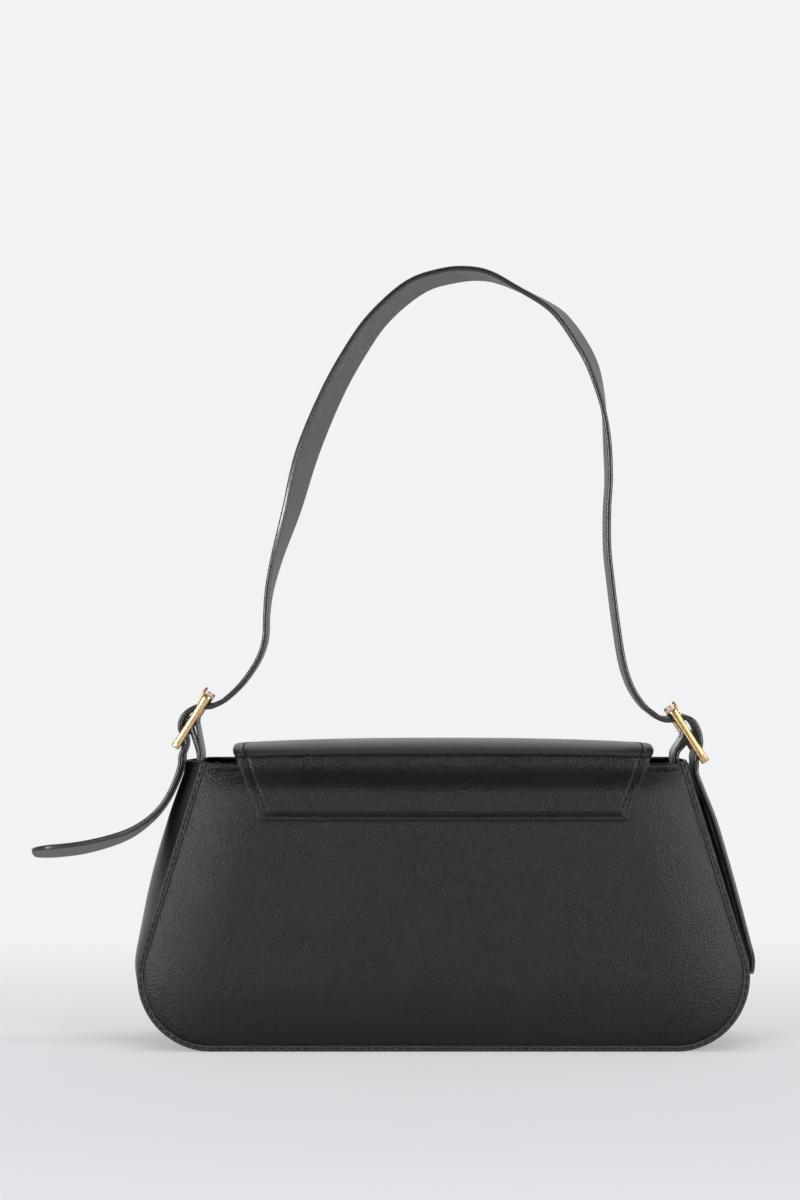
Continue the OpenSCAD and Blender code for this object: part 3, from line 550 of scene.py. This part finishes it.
def into(grid, depth):
    """The grid moved in through the sheet by a depth, along its own normals."""
    down, along = np.gradient(grid, axis=0), np.gradient(grid, axis=1)
    n = np.cross(down, along)
    return grid - n / np.linalg.norm(n, axis=2, keepdims=True) * depth


def flap_grid(s, u, inset=0.0, plain=False):
    half = flap_half(s)
    length = np.concatenate([[0], np.cumsum(np.linalg.norm(np.diff(flap_point(s, 0 * s), axis=0), axis=1))])
    for at_end, gap in ((s[0] == 0, length), (s[-1] == 3, length[-1] - length)):
        if at_end:
            half = half - flap_corner * (1 - np.sqrt(1 - (1 - np.clip(gap / flap_corner, 0, 1)) ** 2))
    return flap_point(s[:, None], u[None, :] * (half[:, None] - inset), plain)


edge_steps = 0.09 * np.linspace(0, 1, 22) ** 1.2
flap_u = np.concatenate([-1 + edge_steps, np.linspace(-0.91, 0.91, 31)[1:-1], 1 - edge_steps[::-1]])
end_steps = np.linspace(0, 1, 19) ** 1.3 * 0.24
back_s = np.concatenate([end_steps, np.linspace(0.24, 1, 12)[1:], np.linspace(1, 1.5, 30)[1:]])
front_s = np.concatenate([np.linspace(1.5, 2, 30), np.linspace(2, 3 - 0.4 * 0.24, 24)[1:],
                          3 - 0.4 * end_steps[::-1][1:]])
paint = Finish("edge_paint")
edge_paint = paint.surface(Base_Color=paint.blend(paint.noise(4 * MM), (0.008, 0.008, 0.008),
                                                  (0.02, 0.018, 0.017)),
                           Roughness=0.2 + 0.12 * paint.noise(2 * MM), Coat_Weight=0.35, Coat_Roughness=0.15,
                           Normal=paint.bumps(paint.noise(1.5 * MM), 0.02 * MM))
flap_lining = leather("flap_lining_leather", (0.02, 0.02, 0.021), rough=0.6, grain=0.6 * MM, shine=0.2)
back_fold = ("bag", "flap", (0, hinge_y - 1 * MM, hinge_z - 4 * MM),
             (0, hinge_y + 1.5 * MM, hinge_z + 5 * MM))
front_fold = ("flap", "flap_front", (0, front_y - 8 * MM, hinge_z + 7.5 * MM),
              (0, front_y, hinge_z - 2 * MM))
for name, s, fold, nodes in (
        ("flap_back_and_roll", back_s, back_fold, ["flap_back", "flap_top"]),
        ("flap_hanging_front", front_s, front_fold, ["flap_front"])):
    face, plain = flap_grid(s, flap_u), flap_grid(s, flap_u, plain=True)
    piece(name, [slab(face, into(plain, -flap_thick), 1)], [black_leather, edge_paint], nodes=nodes,
          blend=fold)
for name, s, fold, nodes in (
        ("flap_lining_rear", np.linspace(1.06, 1.5, 24), back_fold, ["flap_top_lining"]),
        ("flap_lining_front", np.concatenate([np.linspace(1.5, 2, 24), np.linspace(2, 2.98, 24)[1:]]),
         front_fold, ["flap_front_lining"])):
    face = flap_grid(s, flap_u, 1.5 * MM, True)
    board_room = 0.65 * MM if "front" in name else 0
    deep = flap_thick + 0.06 * MM + board_room * smooth((s - 1.8) / 0.3)[:, None, None]
    piece(name, [slab(into(face, -deep), into(face, -(deep + lining_thick)))], [flap_lining],
          nodes=nodes, blend=fold)


# The strap is one long band of two leathers glued back to back, its edges sealed with paint.
# It rises from inside the buckles in an arch, and its two free ends hang outside them.
strap_w, strap_t = 24.5 * MM, 2.4 * MM
buckle_slope, bar_reach = math.radians(57.5), 12.8
left_centre = np.array([-116.9, 150.6])
right_centre = np.array([114.4, 143.9])
left_thread = [(-16.5, -4.4), (-12.6, -3.5), (-9.9, -2), (-7.6, 0.6), (-5.6, 2.9), (-3, 4.3),
               (0, 4.6), (3.7, 3.6), (6.8, 1.4), (8.6, -1.2), (10.2, -3.6), (13, -5.7), (17, -7.7)]
right_thread = [(17, -8.2), (14, -7), (11.7, -5), (10.1, -2.4), (9.2, 0.3), (8.1, 2.8), (5.9, 4.8),
                (3, 5.6), (-0.4, 5.2), (-3.8, 4.1), (-7, 2.1), (-9.1, -0.5), (-10.8, -2.6), (-13.2, -4)]
arch = [(-93.8, 168, 0, 0), (-86.7, 178.4, 0, 0), (-83.2, 188.5, 0, 0), (-82.6, 200, 0, 0),
        (-81.3, 212, 1, 0), (-77.5, 228, 3, 0), (-71, 249, 6.5, 0), (-63.6, 276, 9.5, 0),
        (-52.5, 303, 9.5, 0), (-41.3, 323.5, 9.5, 0), (-29.5, 340, 9.5, 0), (-12.4, 354.4, 9.5, -1.5),
        (4, 359.6, 9, -2.6), (16, 360.3, 8.5, -2.6), (26, 358, 8, -2.6), (38, 352, 8, -1),
        (51.3, 344.3, 8, 0), (58.6, 336.9, 8, 0), (65.1, 327.2, 8, 0), (70, 317.8, 6.7, 0),
        (73.5, 306.4, 4.4, 0), (76, 294, 1.8, 0), (77.4, 280, 0, 0), (78, 263.5, 0, 0),
        (77.2, 249, 0, 0), (77.3, 231, 0, 0), (79, 214.6, 0, 0), (81.4, 195.7, 0, 0),
        (84.4, 177.5, 0, 0), (88.3, 166, 0, 0), (93.5, 158, 0, 0)]
left_loose = [(43.8, 58.6, -6.5), (41.4, 36.4, -6), (36.2, 19, -4.5), (29.7, 9.8, -2.5),
              (21.8, 4.4, -1), (12.2, 2.3, 0), (2.5, 2.2, 0)]
right_loose = [(6, 2.1, 0), (14, 1.7, 0), (27, 1.7, 0), (42, 1.7, 0), (57, 1.7, 0), (72, 1.8, 0),
               (84, 2, 0), (92, 2.4, 0), (100, 2.8, 0)]


def buckle_xz(right, u, v):
    """A place in a buckle, u up along it and v out from it, both in metres."""
    c = (right_centre if right else left_centre) * MM
    x = u * math.cos(buckle_slope) - v * math.sin(buckle_slope)
    return c[0] + (-x if right else x), c[1] + u * math.sin(buckle_slope) + v * math.cos(buckle_slope)


def loose_xz(right, below, off):
    z = rim_z - below * MM
    x = float(seam_half(z) + bulge(1 if right else -1, z)) + off * MM
    return (x if right else -x), z


route = [(*loose_xz(False, p[0], p[1]), 0, p[2] * MM) for p in left_loose]
route += [(*buckle_xz(False, u * MM, v * MM), 0, 0) for u, v in left_thread]
route += [tuple(v * MM for v in p) for p in arch]
route += [(*buckle_xz(True, u * MM, v * MM), 0, 0) for u, v in right_thread]
route += [(*loose_xz(True, p[0], p[1]), 0, p[2] * MM) for p in right_loose]
route = np.array(route)
left_end, right_end = len(left_loose), len(route) - 1 - len(right_loose)


def route_at(k):
    k = np.clip(k, 0, len(route) - 1)
    i = np.minimum(k.astype(int), len(route) - 2)
    t = (k - i)[:, None]
    full = np.vstack([2 * route[0] - route[1], route, 2 * route[-1] - route[-2]])
    a, b, c, d = (full[i + j] for j in range(4))
    return 0.5 * (2 * b + (c - a) * t + (2 * a - 5 * b + 4 * c - d) * t ** 2
                  + (3 * b - a - 3 * c + d) * t ** 3)


def strap_frame(k):
    """Centre of the strap, its direction across and its direction outwards."""
    here, ahead, behind = route_at(k), route_at(k + 0.02), route_at(k - 0.02)
    centre = np.stack([here[:, 0], 0 * k, here[:, 1]], 1)
    across = np.stack([here[:, 2], strap_w + 0 * k, here[:, 3]], 1)
    across /= np.linalg.norm(across, axis=1, keepdims=True)
    run = np.stack([ahead[:, 0] - behind[:, 0], 0 * k, ahead[:, 1] - behind[:, 1]], 1)
    outward = np.cross(run, across)
    return centre, across, outward / np.linalg.norm(outward, axis=1, keepdims=True)


def prism(outline, right, width):
    """A solid with an outline in a buckle's plane, for cutting."""
    ring = np.array([buckle_xz(right, u, v) for u, v in outline])
    rows = [np.stack([ring[:, 0], 0 * ring[:, 0] + w, ring[:, 1]], 1) for w in (-width / 2, width / 2)]
    return tube(rows)


def cutter(name, parts):
    """A hidden solid that cuts slots and holes, and is removed afterwards."""
    made = piece(name, parts, [], "bag")
    made.hide_render = True
    return made


def discard(made):
    mesh = made.data
    bpy.data.objects.remove(made)
    bpy.data.meshes.remove(mesh)


strap_leather = leather("strap_leather", (0.004, 0.004, 0.0043), rough=0.36, grain=0.8 * MM, shine=0.35)
strap_back = leather("strap_back_leather", (0.062, 0.061, 0.063), rough=0.5, grain=0.8 * MM, shine=0.4)

tip_steps = np.linspace(0, 1, 12) ** 2 * 0.42
k = np.concatenate([tip_steps, np.arange(0.42, len(route) - 1.42, 0.2)[1:],
                    len(route) - 1 - tip_steps[::-1] * 1.05])
centre, across, outward = strap_frame(k)
to_tip = np.minimum(np.linalg.norm(centre - centre[0], axis=1), np.linalg.norm(centre - centre[-1], axis=1))
near = np.clip(to_tip / (strap_w * 0.45), 0, 1)
half = strap_w / 2 * (0.42 + 0.58 * np.sqrt(1 - (1 - near) ** 2))
thin = strap_t / 2 * (0.75 + 0.25 * np.sqrt(near))
ring_paint = [1, 1, 1, 0, 0, 0, 1, 1, 1, 1, 1, 1, 1, 1, 1, 2, 2, 2, 1, 1, 1, 1, 1, 1]
band = tube(rounded(centre, across, outward, half, thin, 0.75 * MM, 0.06), ring_paint)

prong_w, prong_eye_r, prong_reach, prong_rest = 3 * MM, 2.3 * MM, 16.4 * MM, 1.85 * MM
fan = [(0.0, prong_eye_r - 2.4 * MM), (bar_reach * MM, prong_rest - 0.8 * MM)]
fan_r = 1.08 * prong_reach
fan += [(fan_r * math.cos(a), fan_r * math.sin(a)) for a in np.radians(range(6, 70, 15))]
fan += [(0.0, prong_eye_r)]
cuts = [prism(fan, right, prong_w + 0.7 * MM) for right in (False, True)]
holes = np.array([left_end - 3.5, left_end - 1.6, right_end + 2.6, right_end + 4.1])
hole_centre, hole_across, hole_out = strap_frame(holes)
around = np.radians(np.arange(0, 360, 20))[:, None]
for c, a, o in zip(hole_centre, hole_across, hole_out):
    along = np.cross(a, o)
    disc = 2 * MM * (np.cos(around) * a + np.sin(around) * along)
    cuts.append(tube([c + disc - 4 * MM * o, c + disc + 4 * MM * o]))
knife = cutter("strap_cuts", cuts)
piece("shoulder_strap", [band], [strap_leather, edge_paint, strap_back],
      nodes=["strap", "strap_backing", "left_strap_end", "right_strap_end"],
      cut=knife, blend=("bag", "strap", (0, 0, 0.1195), (0, 0, 0.1345)))
discard(knife)


# Each tab is a short band of leather looped over its buckle's bar. Both legs go down inside
# the gusset, where they are sewn in.
tab_w, tab_t, leg_gap, bar_r = 18 * MM, 1.4 * MM, 0.4 * MM, 1.25 * MM
loop_mid = bar_r + 0.1 * MM + tab_t / 2
tab_leather = leather("tab_leather", (0.004, 0.004, 0.0043), rough=0.36, grain=0.8 * MM, shine=0.35)


def tab_path(right):
    name = "right" if right else "left"
    base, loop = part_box(f"{name}_tab_base"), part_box(f"{name}_tab")
    legs = 2 * tab_t + leg_gap
    if right:
        low, high, rim = base[1][0], base[0][0] + legs, loop[0][0] + legs
    else:
        low, high, rim = -base[0][0], -base[1][0] + legs, -loop[1][0] + legs
    c = np.abs(right_centre if right else left_centre) * MM
    outer = [(low, base[0][2]), (high, base[1][2]), (rim, rim_z - 1 * MM),
             (rim + 0.1 * MM, rim_z + 3.5 * MM)]
    down = [np.array([x - tab_t / 2, z]) for x, z in outer]
    up = [p - [tab_t + leg_gap, 0] for p in down]
    arc = [c + loop_mid * np.array([math.cos(a), math.sin(a)]) for a in np.radians(np.linspace(-25, 205, 19))]
    ends = [(down[-1] * (1 - j) + arc[0] * j) for j in (0.3, 0.6, 0.85)]
    back = [(up[-1] * (1 - j) + arc[-1] * j) for j in (0.85, 0.6, 0.3)]
    path = np.array(down + ends + arc + back + up[::-1])
    path[:, 0] *= 1 if right else -1
    return path


for right, name in ((False, "left"), (True, "right")):
    path = tab_path(right)
    fine = np.linspace(0, 1, 5)[:-1, None, None]
    between = (path[:-1] + fine * (path[1:] - path[:-1])).transpose(1, 0, 2).reshape(-1, 2)
    path = np.concatenate([between, path[-1:]])
    for _ in range(3):
        path[1:-1] = (path[:-2] + 2 * path[1:-1] + path[2:]) / 4
    centre = np.stack([path[:, 0], 0 * path[:, 0], path[:, 1]], 1)
    across = np.tile([0.0, 1.0, 0.0], (len(path), 1))
    outward = np.cross(np.gradient(centre, axis=0), across)
    outward /= np.linalg.norm(outward, axis=1, keepdims=True)
    c = (right_centre if right else left_centre) * MM
    slot_r = loop_mid + tab_t + 2 * MM
    block = [(c[0] - slot_r, c[1] - loop_mid + 0.3 * MM), (c[0] + slot_r, c[1] - loop_mid + 0.3 * MM),
             (c[0] + slot_r, c[1] + slot_r), (c[0] - slot_r, c[1] + slot_r)]
    knife = cutter(f"{name}_tab_cut", [tube([[(x, w, z) for x, z in block]
                                             for w in (-prong_w / 2 - 0.4 * MM, prong_w / 2 + 0.4 * MM)])])
    loop = rounded(centre, across, outward, tab_w / 2, tab_t / 2, 0.5 * MM)
    piece(f"{name}_tab_loop", [tube(loop, ring_paint)],
          [tab_leather, edge_paint, tab_leather], nodes=[f"{name}_tab", f"{name}_tab_base"],
          cut=knife, blend=("bag", "strap", (0, 0, 0.1255), (0, 0, 0.1355)))
    discard(knife)


# The buckles are cast and plated pale gold: two waisted side bars with bevelled edges joined
# by round bars, the middle one carrying the tab and the prong.
inside_half, side_t, buckle_len = strap_w / 2 + 0.3 * MM, 2.8 * MM, 29 * MM
gold = Finish("pale_gold_plate")
wear = gold.noise(9 * MM, 3.0)
fine = gold.noise(0.5 * MM, 2.0)
gold_plate = gold.surface(Base_Color=gold.blend(wear, (0.52, 0.34, 0.16), (0.64, 0.45, 0.23)), Metallic=1.0,
                          Roughness=0.22 + 0.08 * wear + 0.03 * fine)


def rod(right, u, v, r, half):
    turn = np.radians(np.arange(0, 360, 15))
    ring = np.array([buckle_xz(right, u + r * math.cos(a), v + r * math.sin(a)) for a in turn])
    return tube([np.stack([ring[:, 0], 0 * turn + w, ring[:, 1]], 1) for w in (-half, half)])


def side_bar(right, sign):
    u = np.linspace(-1, 1, 13)
    v = (1.65 + 0.35 * u ** 2) * MM
    outline = [*zip(u * buckle_len / 2, v), *zip(u[::-1] * buckle_len / 2, -v[::-1])]
    ring = np.array([buckle_xz(right, a, b) for a, b in outline])
    return tube([np.stack([ring[:, 0], 0 * ring[:, 0] + sign * w, ring[:, 1]], 1)
                 for w in (inside_half, inside_half + side_t)])


for right, name in ((False, "left"), (True, "right")):
    ends = [rod(right, side * bar_reach * MM, 0, 1.7 * MM, inside_half + side_t / 2) for side in (-1, 1)]
    piece(f"{name}_buckle", [side_bar(right, -1), side_bar(right, 1), *ends], [gold_plate], "strap",
          [f"{name}_buckle_frame"], bevel=0.6 * MM)
    piece(f"{name}_buckle_middle_bar", [rod(right, 0, 0, bar_r, inside_half + side_t - 0.3 * MM)],
          [gold_plate], "strap", [f"{name}_buckle_bar"])
    bend = np.radians(np.linspace(0, 360, 25)[:-1])
    eye = np.array([buckle_xz(right, 1.8 * MM * math.cos(a), 1.8 * MM * math.sin(a)) for a in bend])
    away = eye - (right_centre if right else left_centre) * MM
    eye_out = np.stack([away[:, 0], 0 * bend, away[:, 1]], 1) / (1.8 * MM)
    across = np.tile([0.0, 1.0, 0.0], (24, 1))
    ring = tube(rounded(np.stack([eye[:, 0], 0 * bend, eye[:, 1]], 1), across, eye_out, prong_w / 2,
                        0.48 * MM, 0.3 * MM), closed=True)
    run = np.array([(0.4, 1.45), (2.2, 1.5), (5, 1.75), (8, 2.15), (11, 2.55), (13, 2.75), (14.6, 2.8),
                    (15.5, 2.85), (16.3, 2.95)]) * MM
    arm = np.array([buckle_xz(right, u, v) for u, v in run])
    arm = np.stack([arm[:, 0], 0 * arm[:, 0], arm[:, 1]], 1)
    arm_out = np.cross(np.gradient(arm, axis=0), np.tile([0.0, 1.0, 0.0], (len(arm), 1)))
    arm_out /= np.linalg.norm(arm_out, axis=1, keepdims=True)
    arm_half = np.array([1.5, 1.5, 1.45, 1.35, 1.3, 1.3, 1.2, 1.0, 0.6]) * MM
    arm_thick = np.array([0.8, 0.85, 0.85, 0.85, 0.85, 0.85, 0.8, 0.7, 0.42]) * MM
    piece(f"{name}_buckle_prong",
          [ring, tube(rounded(arm, across[:len(arm)], arm_out, arm_half, arm_thick, 0.38 * MM))],
          [gold_plate], f"{name}_prong", [f"{name}_prong"])


# Stitches are waxed black thread, one short raised bar after another, set along the bindings,
# round the flap and under the hemmed rims.
thread = Finish("black_thread")
twist = thread.node("ShaderNodeTexWave", 0, wave_type="BANDS", bands_direction="DIAGONAL",
                    put={"Vector": thread.node("ShaderNodeTexCoord", "Object"), "Scale": 900.0,
                         "Distortion": 0.6})
black_thread = thread.surface(Base_Color=thread.blend(twist, (0.002, 0.002, 0.002), (0.012, 0.012, 0.012)),
                              Roughness=0.55, Specular_IOR_Level=0.15,
                              Normal=thread.bumps(twist, 0.05 * MM))

sewing = bpy.data.node_groups.new("stitches", "GeometryNodeTree")
for name, kind in (("Seam", "Geometry"), ("Pitch", "Float"), ("Length", "Float"), ("Thickness", "Float"),
                   ("Slant", "Float"), ("Seed", "Int"), ("Thread", "Material")):
    sewing.interface.new_socket(name, in_out="INPUT", socket_type=f"NodeSocket{kind}")
sewing.interface.new_socket("Stitches", in_out="OUTPUT", socket_type="NodeSocketGeometry")


def sew(kind, links=(), **settings):
    made = sewing.nodes.new(kind)
    for key, value in settings.items():
        setattr(made, key, value)
    for key, source in dict(links).items():
        if hasattr(source, "is_output"):
            sewing.links.new(source, made.inputs[key])
        else:
            made.inputs[key].default_value = source
    return made


given = sew("NodeGroupInput").outputs
normal = sew("GeometryNodeInputNamedAttribute", {"Name": "out"}, data_type="FLOAT_VECTOR").outputs[0]
curve = sew("GeometryNodeMeshToCurve", {"Mesh": given["Seam"]}).outputs[0]
even = sew("GeometryNodeResampleCurve", {"Curve": curve, "Length": given["Pitch"]}, mode="LENGTH").outputs[0]
tangent = sew("GeometryNodeInputTangent").outputs[0]
ahead = sew("FunctionNodeAxesToRotation", {"Primary Axis": normal, "Secondary Axis": tangent},
            primary_axis="Z", secondary_axis="X").outputs[0]
slant = sew("FunctionNodeRandomValue", {"Seed": given["Seed"]}, data_type="FLOAT")
sewing.links.new(given["Slant"], slant.inputs[3])
slant.inputs[2].default_value = 0.0
skew = sew("ShaderNodeCombineXYZ", {"Z": slant.outputs[1]}).outputs[0]
turned = sew("FunctionNodeRotateRotation", {"Rotation": ahead, "Rotate By": skew},
             rotation_space="LOCAL").outputs[0]
bead = sew("GeometryNodeMeshUVSphere", {"Segments": 8, "Rings": 6, "Radius": 0.5}).outputs[0]
size = sew("ShaderNodeCombineXYZ", {"X": given["Length"], "Y": given["Thickness"],
                                   "Z": given["Thickness"]}).outputs[0]
placed = sew("GeometryNodeInstanceOnPoints", {"Points": even, "Instance": bead, "Rotation": turned,
                                             "Scale": size}).outputs[0]
real = sew("GeometryNodeRealizeInstances", {"Geometry": placed}).outputs[0]
coloured = sew("GeometryNodeSetMaterial", {"Geometry": real, "Material": given["Thread"]}).outputs[0]
sewing.links.new(coloured, sew("NodeGroupOutput").inputs[0])


def stitches(name, seams, body=None, blend=None, pitch=3.6 * MM, seed=1):
    """Sews along seams, each a list of points and of the directions out of the leather."""
    points, edges, out = [], [], []
    for at, normals in seams:
        edges += [(len(points) + i, len(points) + i + 1) for i in range(len(at) - 1)]
        points += np.asarray(at).tolist()
        out += np.broadcast_to(normals, np.shape(at)).tolist()
    mesh = bpy.data.meshes.new(name)
    mesh.from_pydata(points, edges, [])
    mesh.attributes.new("out", "FLOAT_VECTOR", "POINT").data.foreach_set("vector", np.ravel(out))
    made = bpy.data.objects.new(name, mesh)
    bpy.context.collection.objects.link(made)
    work = made.modifiers.new("sewing", "NODES")
    work.node_group = sewing
    values = {"Pitch": pitch, "Length": pitch * 0.74, "Thickness": 0.8 * MM, "Slant": 0.16, "Seed": seed,
              "Thread": black_thread}
    for item in sewing.interface.items_tree:
        if item.in_out == "INPUT" and item.name in values:
            work[item.identifier] = values[item.name]
    done = bpy.context.evaluated_depsgraph_get()
    made.data = bpy.data.meshes.new_from_object(made.evaluated_get(done))
    made.modifiers.clear()
    made.data.shade_smooth()
    if blend:
        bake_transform(made)
    else:
        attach(made, body)


def flap_seam(s_end, side_in, end_in):
    """The stitch line round half of the flap, from the middle of its top and back again."""
    end = 0 if s_end < 1.5 else 3
    length = hinge_z - 0.8 * MM - (anchor_z if end == 0 else flap_end_z)
    last = end_in / length if end == 0 else 3 - end_in / length
    s = np.linspace(1.5, last, 60)
    x = flap_half(s) - side_in
    row = np.linspace(x[-1], -x[-1], 60)[1:-1]
    run_s = np.concatenate([s, np.full(58, last), s[::-1]])
    run_x = np.concatenate([x, row, -x[::-1]])
    at = flap_point(run_s, run_x)
    down = flap_point(run_s + 0.004, run_x) - flap_point(run_s - 0.004, run_x)
    along = flap_point(run_s, run_x + 0.1 * MM) - flap_point(run_s, run_x - 0.1 * MM)
    out = np.cross(down, -along)
    out /= np.linalg.norm(out, axis=1, keepdims=True)
    return at + out * 0.08 * MM, out


stitches("flap_stitches_rear", [flap_seam(0, flap_sewn_side, flap_sewn_end)], blend=back_fold, seed=2)
stitches("flap_stitches_front", [flap_seam(3, flap_sewn_side, flap_sewn_end)], blend=front_fold, seed=3)
body_seams = []
hem_x = np.linspace(-1, 1, 60) * (float(seam_half(rim_z)) - 2 * MM)
hem_z = rim_z - hem_sewn
for side in (-1, 1):
    x, z, ox, oz = stations[1:-1].T
    middle = (lip_w + 0.1 * MM) / 2
    outward = (0, side * math.cos(lean), math.sin(lean))
    body_seams.append((on_wall(side, x + middle * ox, z + middle * oz, binding_t - 0.02 * MM), outward))
    body_seams.append((on_wall(side, hem_x, hem_z, panel_rise(side, hem_x, hem_z) + 0.02 * MM), outward))
for end in (0, -1):
    mouth = stations[end] * 1
    mouth[:2] += (stations[1 if end == 0 else -2][:2] - mouth[:2]) * 0.9
    t = np.linspace(-0.97, 0.97, 30)[None, :]
    body_seams.append((gusset_point(mouth[None, :], t, -0.02 * MM)[0], (mouth[2], 0, 0)))
stitches("bag_stitches", body_seams, "bag")


# Inside, the mouth is faced with leather and the rest is lined with woven cloth, with a slip
# pocket on the back wall. Magnet and plate of the snap are bare steel.
cloth = Finish("lining_cloth")
where = cloth.node("ShaderNodeTexCoord", "Object")
warp = cloth.node("ShaderNodeTexWave", 0, put={"Vector": where, "Scale": 420.0}, bands_direction="X")
weft = cloth.node("ShaderNodeTexWave", 0, put={"Vector": where, "Scale": 420.0}, bands_direction="Z")
weave = 0.5 * warp + 0.5 * weft
lining_cloth = cloth.surface(Base_Color=cloth.blend(0.6 * weave + 0.4 * cloth.noise(15 * MM),
                                                    (0.045, 0.042, 0.04), (0.10, 0.095, 0.09)),
                             Roughness=0.85, Sheen_Weight=0.3, Normal=cloth.bumps(weave, 0.08 * MM))
steel = Finish("nickel_steel")
brushed = steel.noise(0.8 * MM, 4.0)
nickel = steel.surface(Base_Color=steel.blend(brushed, (0.55, 0.54, 0.52), (0.7, 0.69, 0.67)), Metallic=1.0,
                       Roughness=0.22 + 0.15 * brushed)
card = Finish("fibre_board")
fibre_board = card.surface(Base_Color=card.blend(card.noise(2 * MM, 4.0), (0.22, 0.17, 0.12),
                                                 (0.34, 0.28, 0.2)),
                           Roughness=0.9)
finishes = {"back_facing": tab_leather, "front_facing": tab_leather, "inner_pocket": lining_cloth,
            "back_lining": lining_cloth, "front_lining": lining_cloth, "gusset_lining": lining_cloth,
            "back_board": fibre_board, "front_board": fibre_board, "base_board": fibre_board,
            "flap_board": fibre_board, "snap_plate": nickel, "snap_plate_washer": nickel,
            "snap_magnet": nickel, "snap_magnet_washer": nickel}
for node, finish in finishes.items():
    for material_slot in bpy.data.objects[node].material_slots:
        material_slot.material = finish
